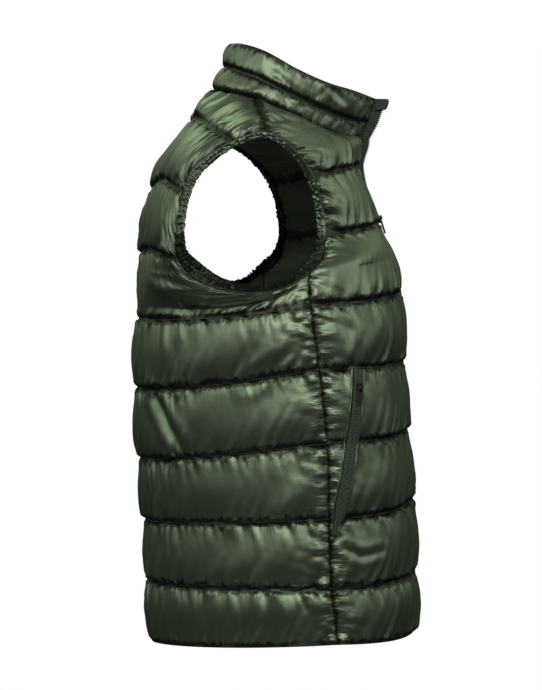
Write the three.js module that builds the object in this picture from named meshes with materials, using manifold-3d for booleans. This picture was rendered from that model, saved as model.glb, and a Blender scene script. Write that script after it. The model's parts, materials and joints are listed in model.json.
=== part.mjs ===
// A quilted puffer vest, filled out as when worn, with an empty inside.
// Millimetres. +X is the wearer's front, -Y the wearer's right and +Z up.
// The origin is midway between the neck ends of the two shoulder seams.
import * as THREE from 'three';
import { mergeVertices } from 'three/addons/utils/BufferGeometryUtils.js';
import Module from 'manifold-3d';

// Driving sizes of the cloth
const wall = 3; // cloth and flattened fill along a stitched line
const puffHeight = 9.5; // how far the fill lifts the cloth between stitched lines
const puffRise = 8; // distance from a stitch over which the cloth lifts
const neckRise = 16; // the same beside the neckline, under the collar
const seamFlat = 0.85; // share of the lift that the edge of a channel has
const collarPuff = 7;
const collarRise = { base: 12, stitched: 5 };
const shoulderBow = 5; // how far the middle of the shoulder seam stands over its ends
const seamGap = 0.3;

// Driving sizes of the trims
const bindingThickness = 2;
const bindingGap = 0.6; // from the panels' edge, so that its corners stay clear
const bindingSet = 0.5; // how far its outer face lies under the panels' stitched edge
const bindingGathers = 44;
const gatherDepth = 1.6;
const tapeThickness = 1.6;
const tapeSet = 0.5; // how far the front tape's face lies behind the panels' edge
const pocketTapeWidth = 13;
const pocketTapeLift = 1.2; // from the panel's puffs to the back of the tape
const slider = { length: 12, wide: 9, narrow: 6.6, thickness: 2.6, lift: 0.4 };
const bridge = { length: 5.2, width: 2, height: 4.1, bar: 1.2, post: 1.2, root: 0.5 };
const pull = { length: 21, wide: 8, narrow: 5.6, thickness: 1.5, axisHeight: 1.5, droop: 7 };
const eye = { length: 4.8, width: 4.4 };
const garage = { start: 0.5, end: 17.5, height: 14, thickness: 2.6, corner: 2.5, seat: -0.2 };

const cloth = { color: 0x4a5743, roughness: 0.42, metalness: 0 };
const trim = { color: 0x20251e, roughness: 0.7, metalness: 0 };
const metal = { color: 0x2c302b, roughness: 0.4, metalness: 0.6 };

// Side seam, from the hem to the armhole
const sideSeam = [
  { name: 'hem', x: 83, y: 209, z: -660 },
  { name: 'line 8', x: 75, y: 211, z: -592 },
  { name: 'line 7', x: 71.5, y: 213, z: -509 },
  { name: 'line 6', x: 69, y: 214, z: -418 },
  { name: 'line 5', x: 59.5, y: 214, z: -330 },
  { name: 'line 4', x: 49, y: 213, z: -253 },
  { name: 'armhole', x: 47.5, y: 206, z: -216 },
];

// Edge of the panels round an armhole, from the side seam backwards and up. The gathered
// binding starts there: width is its reach, lean how far it turns in from the panel's surface.
const armhole = [
  { name: 'side seam', x: 47.5, y: 206, z: -216, width: 22, lean: 72 },
  { name: 'bottom front', x: 17, y: 207, z: -234, width: 24, lean: 70 },
  { name: 'bottom', x: -21, y: 203, z: -240, width: 24, lean: 66 },
  { name: 'bottom back', x: -62, y: 191, z: -233, width: 23, lean: 58 },
  { name: 'back low', x: -91, y: 177, z: -219, width: 21, lean: 44 },
  { name: 'line 3', x: -107, y: 166, z: -196, width: 19, lean: 24 },
  { name: 'back middle', x: -107, y: 160, z: -158, width: 18, lean: 14 },
  { name: 'line 2', x: -98, y: 159, z: -116, width: 16, lean: 16 },
  { name: 'back high', x: -88, y: 163, z: -90, width: 14, lean: 42 },
  { name: 'top back', x: -70, y: 173, z: -74, width: 13, lean: 68 },
  { name: 'line 1', x: -43, y: 184, z: -57, width: 13, lean: 88 },
  { name: 'shoulder', x: -2, y: 190, z: -46, width: 14, lean: 95 },
  { name: 'top front', x: 29, y: 187, z: -62, width: 17, lean: 98 },
  { name: 'front line 1', x: 57, y: 179, z: -97, width: 20, lean: 88 },
  { name: 'front high', x: 69, y: 175, z: -130, width: 22, lean: 78 },
  { name: 'front line 2', x: 73, y: 178, z: -168, width: 22, lean: 74 },
  { name: 'front low', x: 66, y: 190, z: -198, width: 22, lean: 72 },
];
const shoulderStation = 11;
const holeMiddle = { x: -21, z: -140 };
const uprightArc = { start: 15.7, end: 3.3 }; // stations where the panels stand upright

// Neckline from the centre back, past the shoulder seam, to the front edge
const neckline = [
  { name: 'centre back', x: -41, y: 0, z: 12 },
  { name: 'back', x: -29, y: 48, z: 7 },
  { name: 'shoulder seam', x: 0, y: 80, z: -2 },
  { name: 'side', x: 40, y: 78, z: -20 },
  { name: 'front side', x: 84, y: 62, z: -41 },
  { name: 'front', x: 118, y: 38, z: -49 },
  { name: 'front edge', x: 136, y: 23, z: -50 },
];
const neckAtShoulder = 2;

// Rows of the back, from the hem up. x and z are at the centre back. Each row ends on the side
// seam or the armhole, at the station given. turn is its heading there, from sideways towards
// +X, square how boxy its curve is, bend how late it climbs to its end. A row with quilted set
// is a stitched line.
const backRows = [
  { name: 'hem', x: -119, z: -675, seam: 0, turn: 90, square: 0.57, bend: 1, quilted: true },
  { name: 'line 8', x: -121, z: -598, seam: 1, turn: 90, square: 0.57, bend: 1, quilted: true },
  { name: 'line 7', x: -124.5, z: -523, seam: 2, turn: 90, square: 0.57, bend: 1.2, quilted: true },
  { name: 'line 6', x: -132, z: -446, seam: 3, turn: 90, square: 0.57, bend: 1.6, quilted: true },
  { name: 'line 5', x: -136, z: -359, seam: 4, turn: 90, square: 0.57, bend: 2, quilted: true },
  { name: 'line 4', x: -134, z: -273, seam: 5, turn: 90, square: 0.57, bend: 3, quilted: true },
  { name: 'underarm', x: -130, z: -257, seam: 6, turn: 90, square: 0.57, bend: 8 },
  { name: 'armhole bottom', x: -127, z: -238, hole: 2, turn: 72, square: 0.55, bend: 2 },
  { name: 'armhole back', x: -124.5, z: -214, hole: 4, turn: 36, square: 0.45, bend: 1.5 },
  { name: 'line 3', x: -121.5, z: -186, hole: 5, turn: 22, square: 0.38, bend: 1.6, quilted: true },
  { name: 'blade', x: -112, z: -142, hole: 6, turn: 16, square: 0.36, bend: 1.6 },
  { name: 'line 2', x: -103, z: -99, hole: 7, turn: 16, square: 0.36, bend: 1.6, quilted: true },
  { name: 'yoke', x: -83, z: -58, hole: 8.6, turn: 18, square: 0.36, bend: 1.5 },
  { name: 'line 1', x: -64, z: -23, hole: 10, turn: 20, square: 0.36, bend: 1.5, quilted: true },
  { name: 'top', x: -41, z: 12, hole: 11, turn: 20, square: 0.36, bend: 1.5, quilted: true },
];
const uprightRows = { start: 5, end: 9 }; // rows of the back that stand upright
const neckShare = 0.44; // the part of the back's top row that lies on the neckline

// Rows of a front, from the hem up, from the centre front or the neckline outwards. lead turns
// the start of the row back from sideways; tapeX and tapeY are the reach of the zip's tape.
const frontRows = [
  { name: 'hem', x: 213, y: 9.6, z: -660, seam: 0, lead: 12, turn: 90, square: 0.58, bend: 1,
    tapeX: 3, tapeY: -8.4, quilted: true },
  { name: 'line 8', x: 209.5, y: 9.6, z: -586, seam: 1, lead: 12, turn: 90, square: 0.58,
    bend: 1, tapeX: 3, tapeY: -8.4, quilted: true },
  { name: 'line 7', x: 206.5, y: 9.6, z: -497, seam: 2, lead: 12, turn: 90, square: 0.58,
    bend: 1, tapeX: 3, tapeY: -8.4, quilted: true },
  { name: 'line 6', x: 199.5, y: 9.6, z: -411, seam: 3, lead: 12, turn: 90, square: 0.58,
    bend: 1, tapeX: 3, tapeY: -8.4, quilted: true },
  { name: 'line 5', x: 194.5, y: 9.6, z: -326, seam: 4, lead: 12, turn: 90, square: 0.58,
    bend: 1, tapeX: 3, tapeY: -8.4, quilted: true },
  { name: 'line 4', x: 191.5, y: 9.6, z: -240, seam: 5, lead: 13, turn: 90, square: 0.58,
    bend: 1, tapeX: 3, tapeY: -8.4, quilted: true },
  { name: 'underarm', x: 180, y: 9.6, z: -196, seam: 6, lead: 14, turn: 90, square: 0.56,
    bend: 1.4, tapeX: 3, tapeY: -8.4 },
  { name: 'line 2', x: 162.5, y: 9.8, z: -155, hole: 15, lead: 14, turn: 58, square: 0.5,
    bend: 1.4, tapeX: 3.4, tapeY: -8.6, quilted: true },
  { name: 'chest', x: 146, y: 14, z: -119, hole: 14, lead: 12, turn: 54, square: 0.45,
    bend: 1.5, tapeX: 7, tapeY: -7.5 },
  { name: 'line 1', x: 135, y: 20, z: -82, hole: 13, lead: 10, turn: 52, square: 0.42,
    bend: 1.6, tapeX: 9, tapeY: -5.5, quilted: true },
  { name: 'neck front', x: 136, y: 23, z: -50, hole: 12.5, neck: 6, lead: 12, turn: 44,
    square: 0.36, bend: 1.5, tapeX: 14, tapeY: -4 },
  { name: 'neck side', x: 84, y: 62, z: -41, hole: 12.1, neck: 4, lead: 6, turn: 24,
    square: 0.34, bend: 1.4 },
  { name: 'shoulder front', x: 40, y: 78, z: -20, hole: 11.6, neck: 3, lead: 2, turn: 8,
    square: 0.34, bend: 1.3 },
  { name: 'top', x: 0, y: 80, z: -2, hole: 11, neck: 2, lead: 0, turn: 2, square: 0.34,
    bend: 1.1, quilted: true },
];

// Rings of the collar, from the centre back to the front edge
const collarRings = [
  { name: 'base', tapeX: 14, tapeY: -4, points: neckline },
  { name: 'middle', tapeX: 13, tapeY: -3.5, points: [
    { x: -28, y: 0, z: 41 }, { x: -17, y: 46, z: 34 }, { x: 9, y: 76, z: 21 },
    { x: 48, y: 79, z: 2 }, { x: 88, y: 66, z: -15 }, { x: 124, y: 42, z: -26 },
    { x: 148, y: 25, z: -29 } ] },
  { name: 'top', tapeX: 13, tapeY: -3, points: [
    { x: -21, y: 0, z: 70 }, { x: -10, y: 42, z: 67 }, { x: 15, y: 72, z: 56 },
    { x: 52, y: 79, z: 35 }, { x: 91, y: 70, z: 19 }, { x: 128, y: 48, z: 10 },
    { x: 158, y: 26, z: 1 } ] },
];

// Where the pocket's zip lies on a front: across, as a share of the row, and up, as a row
const pocketTop = { across: 0.8, row: 4 - 0.12 };
const pocketEnd = { across: 0.965, row: 2 - 0.3 };
const pocketSlider = 0.07; // the slider's place along the zip
const frontSliderRow = 7.13;
const frontSliderSeat = 4; // from the front edges of the panels to the back of the slider

const vector = ({ x, y, z }) => new THREE.Vector3(x, y, z);
const between = (a, b, share) => a + (b - a) * share;
const radians = THREE.MathUtils.degToRad;
const bell = (distance, rise = puffRise) => 1 - Math.exp(-distance / rise);

function smoothLine(points, closed = false) {
  const curve = new THREE.CatmullRomCurve3(points.map(vector), closed, 'centripetal');
  const spans = closed ? points.length : points.length - 1;
  return (station) => curve.getPoint(closed ? ((station / spans) % 1 + 1) % 1 : station / spans);
}

const seamAt = smoothLine(sideSeam);
const holeAt = smoothLine(armhole, true);
const neckAt = smoothLine(neckline);

// A column of a table at a place between its rows, with no corner at a row
function smoothColumn(rows, column, row) {
  const low = Math.min(Math.floor(row), rows.length - 2);
  const value = (i) => rows[Math.min(Math.max(i, 0), rows.length - 1)][column] ?? 0;
  const [a, b] = [value(low), value(low + 1)];
  const [slopeA, slopeB] = [(b - value(low - 1)) / 2, (value(low + 2) - a) / 2];
  const t = row - low;
  const rise = t * t * (3 - 2 * t);
  return a + (b - a) * rise + slopeA * t * (1 - t) ** 2 - slopeB * t * t * (1 - t);
}

// The shoulder seam runs from the neckline to the armhole, a little rounded
function shoulderAt(share) {
  const point = neckAt(neckAtShoulder).lerp(holeAt(shoulderStation), share);
  point.z += shoulderBow * Math.sin(Math.PI * share);
  return point;
}

// A panel's stitched surface: across runs from its centre line to its outer edge, row counts
// up its table of rows.
function stitchedSurface(rows, topAt) {
  const last = rows.length - 1;
  const centre = smoothLine(rows.map((row) => ({ x: row.x, y: row.y ?? 0, z: row.z })));

  function centreAt(row) {
    const lower = rows[Math.min(Math.floor(row), last - 1)];
    const upper = rows[Math.min(Math.floor(row), last - 1) + 1];
    if (lower.neck === undefined || upper.neck === undefined) return centre(row);
    return neckAt(between(lower.neck, upper.neck, row - rows.indexOf(lower)));
  }

  function ends(row) {
    const low = Math.min(Math.floor(row), last - 1);
    const share = row - low;
    const [lower, upper] = [rows[low], rows[low + 1]];
    const mixed = (column) => between(lower[column] ?? 0, upper[column] ?? 0, share);
    const eased = (column) => smoothColumn(rows, column, row);
    const station = holeStation(row);
    const edge = station === undefined ? seamAt(mixed('seam')) : holeAt(station);
    return { start: centreAt(row), edge, lead: eased('lead'), turn: eased('turn'),
      square: eased('square'), bend: eased('bend') };
  }

  function rowPoint(across, row) {
    const { start, edge, lead, turn, square, bend } = ends(row);
    const forward = Math.sign(edge.x - start.x) || 1;
    const reachX = Math.abs(edge.x - start.x);
    const reachY = edge.y - start.y;
    const span = (angle) => square * (reachX * Math.sin(angle) + reachY * Math.cos(angle));
    const [first, end] = [radians(lead), radians(turn)];
    const leadOut = new THREE.Vector2(forward * Math.sin(first), Math.cos(first));
    const leadIn = new THREE.Vector2(forward * Math.sin(end), Math.cos(end));
    const flat = new THREE.CubicBezierCurve(
      new THREE.Vector2(start.x, start.y),
      new THREE.Vector2(start.x, start.y).addScaledVector(leadOut, span(first)),
      new THREE.Vector2(edge.x, edge.y).addScaledVector(leadIn, -span(end)),
      new THREE.Vector2(edge.x, edge.y),
    ).getPoint(across);
    return new THREE.Vector3(flat.x, flat.y, between(start.z, edge.z, across ** bend));
  }

  function pointAt(across, row) {
    if (row <= last - 1) return rowPoint(across, row);
    const toTop = topAt(across).sub(rowPoint(across, last));
    return rowPoint(across, row).addScaledVector(toTop, row - (last - 1));
  }

  function holeStation(row) {
    const low = Math.min(Math.floor(row), last - 1);
    const [lower, upper] = [rows[low], rows[low + 1]];
    if (upper.hole === undefined) return undefined;
    const start = lower.hole ?? (upper.hole > shoulderStation ? armhole.length : 0);
    return between(start, upper.hole, row - low);
  }

  return { rows, last, pointAt, holeStation };
}

const backTop = (across) => (across < neckShare
  ? neckAt(neckAtShoulder * across / neckShare)
  : shoulderAt((across - neckShare) / (1 - neckShare)));

const neckRow = frontRows.findIndex((row) => row.neck !== undefined);
const back = { ...stitchedSurface(backRows, backTop), openCentre: false };
const front = { ...stitchedSurface(frontRows, shoulderAt), openCentre: true };

// Outward direction of the stitched surface, on the side where y is positive
function facingAt(panel, across, row) {
  const step = 0.01;
  const [a0, a1] = [Math.max(across - step, 0), Math.min(across + step, 1)];
  const [r0, r1] = [Math.max(row - step, 0), Math.min(row + step, panel.last)];
  const alongRow = panel.pointAt(a1, row).sub(panel.pointAt(a0, row));
  const upPanel = panel.pointAt(across, r1).sub(panel.pointAt(across, r0));
  const facing = alongRow.clone().cross(upPanel).normalize();
  const outward = panel === back ? -1 : 1;
  if (panel === back && row > uprightRows.start && row < uprightRows.end) {
    const share = Math.min(row - uprightRows.start, uprightRows.end - row, 1);
    facing.lerp(new THREE.Vector3(alongRow.y, -alongRow.x, 0).normalize(), share);
  }
  if (across < step && panel === back) facing.y = 0;
  return facing.multiplyScalar(outward).normalize();
}

const shoulderFacing = (() => {
  const along = shoulderAt(1).sub(shoulderAt(0));
  return new THREE.Vector3(0, -along.z, along.y).normalize();
})();

function quiltedBelow(rows, row) {
  let found = Math.min(Math.floor(row), rows.length - 2);
  while (!rows[found].quilted) found -= 1;
  return found;
}

function quiltedAbove(rows, row) {
  let found = Math.min(Math.floor(row), rows.length - 2) + 1;
  while (!rows[found].quilted) found += 1;
  return found;
}

// Height of the filled cloth over the stitched surface
function puffAt(panel, across, row) {
  const here = panel.pointAt(across, row);
  const toLower = here.distanceTo(panel.pointAt(across, quiltedBelow(panel.rows, row)));
  const toUpper = here.distanceTo(panel.pointAt(across, quiltedAbove(panel.rows, row)));
  const toEdge = here.distanceTo(panel.pointAt(1, row));
  const toCentre = panel.openCentre ? here.distanceTo(panel.pointAt(0, row)) : Infinity;
  const middle = toLower + toUpper > 0 ? Math.sin(Math.PI * toLower / (toLower + toUpper)) : 0;
  const crown = between(seamFlat, 1, middle);
  const centreRise = row > neckRow - 1 ? neckRise : puffRise;
  return puffHeight * crown * bell(toLower) * bell(toUpper) * bell(toEdge)
    * bell(toCentre, centreRise);
}

function surfacePoint(panel, across, row, lift) {
  const atShoulder = row > panel.last - 0.001 && (panel === front || across >= neckShare);
  const facing = atShoulder ? shoulderFacing : facingAt(panel, across, row);
  return panel.pointAt(across, row).addScaledVector(facing, lift);
}

// Moves the rim of a grid of points in by half a seam's gap
function trimRim(grid, sides) {
  const pullIn = (point, inner) => {
    point.add(inner.clone().sub(point).setLength(seamGap / 2));
  };
  const [top, right] = [grid.length - 1, grid[0].length - 1];
  for (const row of grid) {
    if (sides.includes('left')) pullIn(row[0], row[1]);
    if (sides.includes('right')) pullIn(row[right], row[right - 1]);
  }
  if (sides.includes('top')) grid[top].forEach((point, i) => pullIn(point, grid[top - 1][i]));
  return grid;
}

// A closed wall from an outer grid of points and a plainer inner one. innerRows lists the outer
// rows that the inner grid has.
function wallSolid(outer, inner, innerRows, closedRing = false) {
  const columns = outer[0].length;
  const points = [...outer.flat(), ...inner.flat()];
  const outerAt = (row, column) => row * columns + (column % columns);
  const innerAt = (row, column) => outer.length * columns + row * columns + (column % columns);
  const faces = [];
  const quad = (a, b, c, d) => {
    const split = points[a].distanceTo(points[c]) <= points[b].distanceTo(points[d]);
    faces.push(...(split ? [a, b, c, a, c, d] : [a, b, d, b, c, d]));
  };
  const spans = closedRing ? columns : columns - 1;
  const top = outer.length - 1;
  for (let i = 0; i < spans; i += 1) {
    for (let j = 0; j < top; j += 1) {
      quad(outerAt(j, i), outerAt(j, i + 1), outerAt(j + 1, i + 1), outerAt(j + 1, i));
    }
    for (let j = 0; j < inner.length - 1; j += 1) {
      quad(innerAt(j, i), innerAt(j + 1, i), innerAt(j + 1, i + 1), innerAt(j, i + 1));
    }
    quad(innerAt(0, i), innerAt(0, i + 1), outerAt(0, i + 1), outerAt(0, i));
    const upper = inner.length - 1;
    quad(outerAt(top, i), outerAt(top, i + 1), innerAt(upper, i + 1), innerAt(upper, i));
  }
  for (const column of closedRing ? [] : [0, columns - 1]) {
    const flip = column > 0;
    const face = (a, b, c) => (flip ? faces.push(a, c, b) : faces.push(a, b, c));
    for (let k = 0; k < inner.length - 1; k += 1) {
      for (let j = innerRows[k]; j < innerRows[k + 1]; j += 1) {
        face(innerAt(k, column), outerAt(j, column), outerAt(j + 1, column));
      }
      face(innerAt(k, column), outerAt(innerRows[k + 1], column), innerAt(k + 1, column));
    }
  }
  return facingOut(points, faces);
}

// Indexed geometry whose faces point out of the solid
function facingOut(points, faces) {
  let volume = 0;
  for (let i = 0; i < faces.length; i += 3) {
    const [a, b, c] = [points[faces[i]], points[faces[i + 1]], points[faces[i + 2]]];
    volume += a.dot(b.clone().cross(c));
  }
  if (volume < 0) {
    for (let i = 0; i < faces.length; i += 3) {
      [faces[i + 1], faces[i + 2]] = [faces[i + 2], faces[i + 1]];
    }
  }
  const geometry = new THREE.BufferGeometry();
  geometry.setAttribute('position', new THREE.Float32BufferAttribute(
    points.flatMap((point) => [point.x, point.y, point.z]), 3));
  geometry.setIndex(faces);
  geometry.computeVertexNormals();
  return geometry;
}

// Row positions of a panel's grid, closer together beside stitched lines
function gridRows(rows) {
  const steps = [];
  const plainRows = [];
  for (let i = 0; i < rows.length - 1; i += 1) {
    const [startsQuilted, endsQuilted] = [rows[i].quilted, rows[i + 1].quilted];
    let shares = [0, 0.5];
    if (startsQuilted && endsQuilted) shares = [0, 0.1, 0.3, 0.5, 0.7, 0.9];
    else if (rows[i].neck && rows[i + 1].neck) shares = [0, 0.25, 0.5, 0.75];
    else if (startsQuilted) shares = [0, 0.2, 0.6];
    else if (endsQuilted) shares = [0, 0.4, 0.8];
    const besideHole = rows[i + 1].hole !== undefined;
    shares.forEach((share, k) => {
      if (k === 0 || besideHole) plainRows.push(steps.length);
      steps.push(i + share);
    });
  }
  plainRows.push(steps.length);
  steps.push(rows.length - 1);
  return { steps, plainRows };
}

const mirrored = (point, side) => new THREE.Vector3(point.x, point.y * side, point.z);

// The back is one piece from side seam to side seam
function backPanel() {
  const half = [0.11, 0.22, 0.33, 0.44, 0.54, 0.64, 0.74, 0.83, 0.9, 0.96, 1];
  const columns = [...half.map((share) => -share).reverse(), 0, ...half];
  const { steps, plainRows } = gridRows(backRows);
  const line = (row, lift) => columns.map((column) => {
    const across = Math.abs(column);
    const height = lift ?? puffAt(back, across, row);
    return mirrored(surfacePoint(back, across, row, height), Math.sign(column) || 1);
  });
  const outer = trimRim(steps.map((row) => line(row)), ['left', 'right', 'top']);
  const inner = trimRim(plainRows.map((i) => line(steps[i], -wall)), ['left', 'right', 'top']);
  return wallSolid(outer, inner, plainRows);
}

function frontPanel(side) {
  const columns = [0, 0.03, 0.09, 0.17, 0.27, 0.37, 0.47, 0.57, 0.67, 0.76, 0.84, 0.91, 0.96, 1];
  const { steps, plainRows } = gridRows(frontRows);
  const line = (row, lift) => columns.map((across) => {
    const height = lift ?? puffAt(front, across, row);
    return mirrored(surfacePoint(front, across, row, height), side);
  });
  const rim = ['left', 'right', 'top'];
  const outer = trimRim(steps.map((row) => line(row)), rim);
  const inner = trimRim(plainRows.map((i) => line(steps[i], -wall)), rim);
  return wallSolid(outer, inner, plainRows);
}

const collarLines = collarRings.map((ring) => smoothLine(ring.points));
const collarLast = neckline.length - 1;

function collarPoint(station, height) {
  const low = Math.min(Math.floor(height), 1);
  return collarLines[low](station).lerp(collarLines[low + 1](station), height - low);
}

function collarFacing(station, height) {
  const step = 0.02;
  const low = Math.max(height - step, 0);
  const high = Math.min(height + step, 2);
  const before = collarPoint(Math.max(station - step, 0), height);
  const after = collarPoint(Math.min(station + step, collarLast), height);
  const facing = after.sub(before).cross(collarPoint(station, high).sub(collarPoint(station, low)));
  if (station < step) facing.y = 0;
  return facing.normalize().negate();
}

// The stand collar has two padded channels and a plain inner face
function collar() {
  const half = [0.5, 1, 1.5, 2, 2.25, 2.5, 2.75, 3, 3.25, 3.5, 3.75, 4, 4.5, 5, 5.5, 5.85, 6];
  const stations = [...half.map((station) => -station).reverse(), 0, ...half];
  const heights = [0, 0.12, 0.32, 0.5, 0.68, 0.88, 1, 1.12, 1.32, 1.5, 1.68, 1.88, 2];
  const plainRows = [0, 6, 12];
  const puff = (station, height) => {
    const here = collarPoint(station, height);
    const low = Math.min(Math.floor(height), 1);
    const toLower = here.distanceTo(collarPoint(station, low));
    const toUpper = here.distanceTo(collarPoint(station, low + 1));
    const toEnd = here.distanceTo(collarPoint(collarLast, height));
    const lowerRise = low === 0 ? collarRise.base : collarRise.stitched;
    return collarPuff * bell(toLower, lowerRise) * bell(toUpper, collarRise.stitched)
      * bell(toEnd);
  };
  const line = (height, lift) => stations.map((signed) => {
    const station = Math.abs(signed);
    const point = collarPoint(station, height);
    point.addScaledVector(collarFacing(station, height), lift ?? puff(station, height));
    point.z += height === 0 ? seamGap : 0;
    return mirrored(point, Math.sign(signed) || 1);
  });
  const outer = trimRim(heights.map((height) => line(height)), ['left', 'right']);
  const inner = trimRim(plainRows.map((i) => line(heights[i], -wall)), ['left', 'right']);
  return wallSolid(outer, inner, plainRows);
}

// The panels' edge round an armhole, as the points of their grids with the outward directions
function holeRim() {
  const rim = [];
  for (const panel of [back, front]) {
    for (const row of gridRows(panel.rows).steps) {
      const station = panel.holeStation(row);
      if (station === undefined) continue;
      const facing = row === panel.last ? shoulderFacing : facingAt(panel, 1, row);
      rim.push({ station: station % armhole.length, point: panel.pointAt(1, row), facing });
    }
  }
  rim.sort((a, b) => a.station - b.station);
  const distinct = rim.filter((entry, i) => i === 0 || entry.station - rim[i - 1].station > 1e-6);
  return [...distinct, { ...distinct[0], station: armhole.length }];
}

function onRim(rim, station) {
  const low = Math.min(rim.findIndex((entry) => entry.station > station), rim.length - 1) - 1;
  const share = (station - rim[low].station) / (rim[low + 1].station - rim[low].station);
  return { point: rim[low].point.clone().lerp(rim[low + 1].point, share),
    facing: rim[low].facing.clone().lerp(rim[low + 1].facing, share).normalize(),
    along: rim[low + 1].point.clone().sub(rim[low].point).normalize() };
}

// The elasticated binding: a strip gathered along the armhole's edge
function armholeBinding(side) {
  const columnsPerGather = 3;
  const columns = bindingGathers * columnsPerGather;
  const step = 0.2;
  const rim = holeRim();
  const column = (name, station) => smoothColumn([...armhole, armhole[0]], name, station);
  const visible = [[], [], []];
  const hidden = [[], [], []];
  for (let i = 0; i < columns; i += 1) {
    const station = (i / columns) * armhole.length;
    const { point: edge, facing: outward } = onRim(rim, station);
    const ahead = onRim(rim, (station + step) % armhole.length).point;
    const behind = onRim(rim, (station - step + armhole.length) % armhole.length).point;
    const along = ahead.sub(behind).normalize();
    if (station < uprightArc.end || station > uprightArc.start) {
      outward.set(-along.y, along.x, 0).multiplyScalar(Math.sign(along.x));
    }
    const lean = radians(column('lean', station));
    outward.addScaledVector(along, -outward.dot(along)).normalize();
    const intoHole = outward.clone().cross(along).normalize();
    const toMiddle = new THREE.Vector3(holeMiddle.x - edge.x, 0, holeMiddle.z - edge.z);
    if (intoHole.dot(toMiddle) < 0) intoHole.negate();
    const reach = intoHole.clone().multiplyScalar(Math.cos(lean))
      .addScaledVector(outward, -Math.sin(lean));
    const facing = intoHole.clone().multiplyScalar(Math.sin(lean))
      .addScaledVector(outward, Math.cos(lean));
    const start = edge.clone().addScaledVector(intoHole, bindingGap)
      .addScaledVector(outward, -(bindingThickness + bindingSet) * Math.cos(lean));
    [0, 0.5, 1].forEach((share, row) => {
      const wave = 0.5 - 0.5 * Math.cos(2 * Math.PI * (i / columnsPerGather));
      const raised = gatherDepth * wave * between(0.5, 1, share);
      const low = start.clone().addScaledVector(reach, column('width', station) * share)
        .addScaledVector(facing, raised);
      hidden[row].push(mirrored(low, side));
      visible[row].push(mirrored(low.addScaledVector(facing, bindingThickness), side));
    });
  }
  return wallSolid(visible, hidden, [0, 1, 2], true);
}

// Half of the front zip's tape, from the hem to the top of the collar
function frontZipTape(side) {
  const reachAt = (rows, row) => {
    const low = Math.min(Math.floor(row), rows.length - 2);
    const mixed = (name) => between(rows[low][name], rows[low + 1][name], row - low);
    return new THREE.Vector3(mixed('tapeX'), mixed('tapeY'), 0);
  };
  const stations = [];
  for (let row = 0; row < neckRow; row += 0.5) {
    stations.push({ point: front.pointAt(0, row), reach: reachAt(frontRows, row) });
  }
  for (const height of [0, 0.5, 1, 1.5, 1.9]) {
    stations.push({ point: collarPoint(collarLast, height), reach: reachAt(collarRings, height) });
  }
  const rims = stations.map(({ point, reach }) => {
    const facing = new THREE.Vector3(-reach.y, reach.x, 0).normalize();
    const edge = point.clone().addScaledVector(facing, -tapeSet);
    const near = edge.clone().addScaledVector(reach.clone().normalize(), seamGap);
    return { near, far: edge.add(reach), facing };
  });
  const visible = rims.map(({ near, far }) => [near, far].map((point) => mirrored(point, side)));
  const hidden = rims.map(({ near, far, facing }) => [near, far].map((point) => (
    mirrored(point.clone().addScaledVector(facing, -tapeThickness), side))));
  return wallSolid(visible, hidden, rims.map((rim, i) => i));
}

// The place and directions on the pocket's zip at a share of its length
function pocketAt(share) {
  const across = between(pocketTop.across, pocketEnd.across, share);
  const row = between(pocketTop.row, pocketEnd.row, share);
  const facing = facingAt(front, across, row);
  return { point: surfacePoint(front, across, row, puffAt(front, across, row)), facing };
}

function pocketTape(side) {
  const shares = Array.from({ length: 25 }, (unused, i) => i / 24);
  const rims = shares.map((share) => {
    const { point, facing } = pocketAt(share);
    const before = pocketAt(Math.max(share - 0.02, 0)).point;
    const along = pocketAt(Math.min(share + 0.02, 1)).point.sub(before).normalize();
    const across = along.clone().cross(facing).normalize();
    return [-0.5, 0.5].map((half) => ({
      low: point.clone().addScaledVector(across, half * pocketTapeWidth)
        .addScaledVector(facing, pocketTapeLift),
      facing,
    }));
  });
  const hidden = rims.map((rim) => rim.map(({ low }) => mirrored(low, side)));
  const visible = rims.map((rim) => rim.map(({ low, facing }) => (
    mirrored(low.clone().addScaledVector(facing, tapeThickness), side))));
  return wallSolid(visible, hidden, shares.map((share, i) => i));
}

// Joins closed geometries that overlap into one closed body
const wasm = await Module();
wasm.setup();

function joined(geometries) {
  const solids = geometries.map((geometry) => {
    const bare = geometry.clone();
    bare.deleteAttribute('normal');
    bare.deleteAttribute('uv');
    const merged = mergeVertices(bare, 1e-4);
    return new wasm.Manifold(new wasm.Mesh({
      numProp: 3,
      vertProperties: new Float32Array(merged.attributes.position.array),
      triVerts: new Uint32Array(merged.index.array),
    }));
  });
  const whole = solids.reduce((sum, solid) => sum.add(solid)).getMesh();
  const geometry = new THREE.BufferGeometry();
  geometry.setAttribute('position', new THREE.Float32BufferAttribute(whole.vertProperties, 3));
  geometry.setIndex([...whole.triVerts]);
  return geometry;
}

// Trims are drawn with x down the zip, y across it and z out of the cloth. place sets one on
// the cloth at a point, given the directions down the zip and out of the cloth.
function place(geometry, { point, down, facing }) {
  const out = facing.clone().addScaledVector(down, -facing.dot(down)).normalize();
  const across = out.clone().cross(down);
  const matrix = new THREE.Matrix4().makeBasis(down, across, out).setPosition(point);
  return geometry.applyMatrix4(matrix);
}

function taperedPlate(start, end, widthStart, widthEnd, thickness, hole) {
  const outline = new THREE.Shape();
  const corner = 1.2;
  outline.moveTo(start, -widthStart / 2 + corner);
  outline.lineTo(start, widthStart / 2 - corner);
  outline.lineTo(start + corner, widthStart / 2);
  outline.lineTo(end - corner, widthEnd / 2);
  outline.lineTo(end, widthEnd / 2 - corner);
  outline.lineTo(end, -widthEnd / 2 + corner);
  outline.lineTo(end - corner, -widthEnd / 2);
  outline.lineTo(start + corner, -widthStart / 2);
  outline.closePath();
  if (hole) outline.holes.push(hole);
  return new THREE.ExtrudeGeometry(outline, { depth: thickness, bevelEnabled: false });
}

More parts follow.
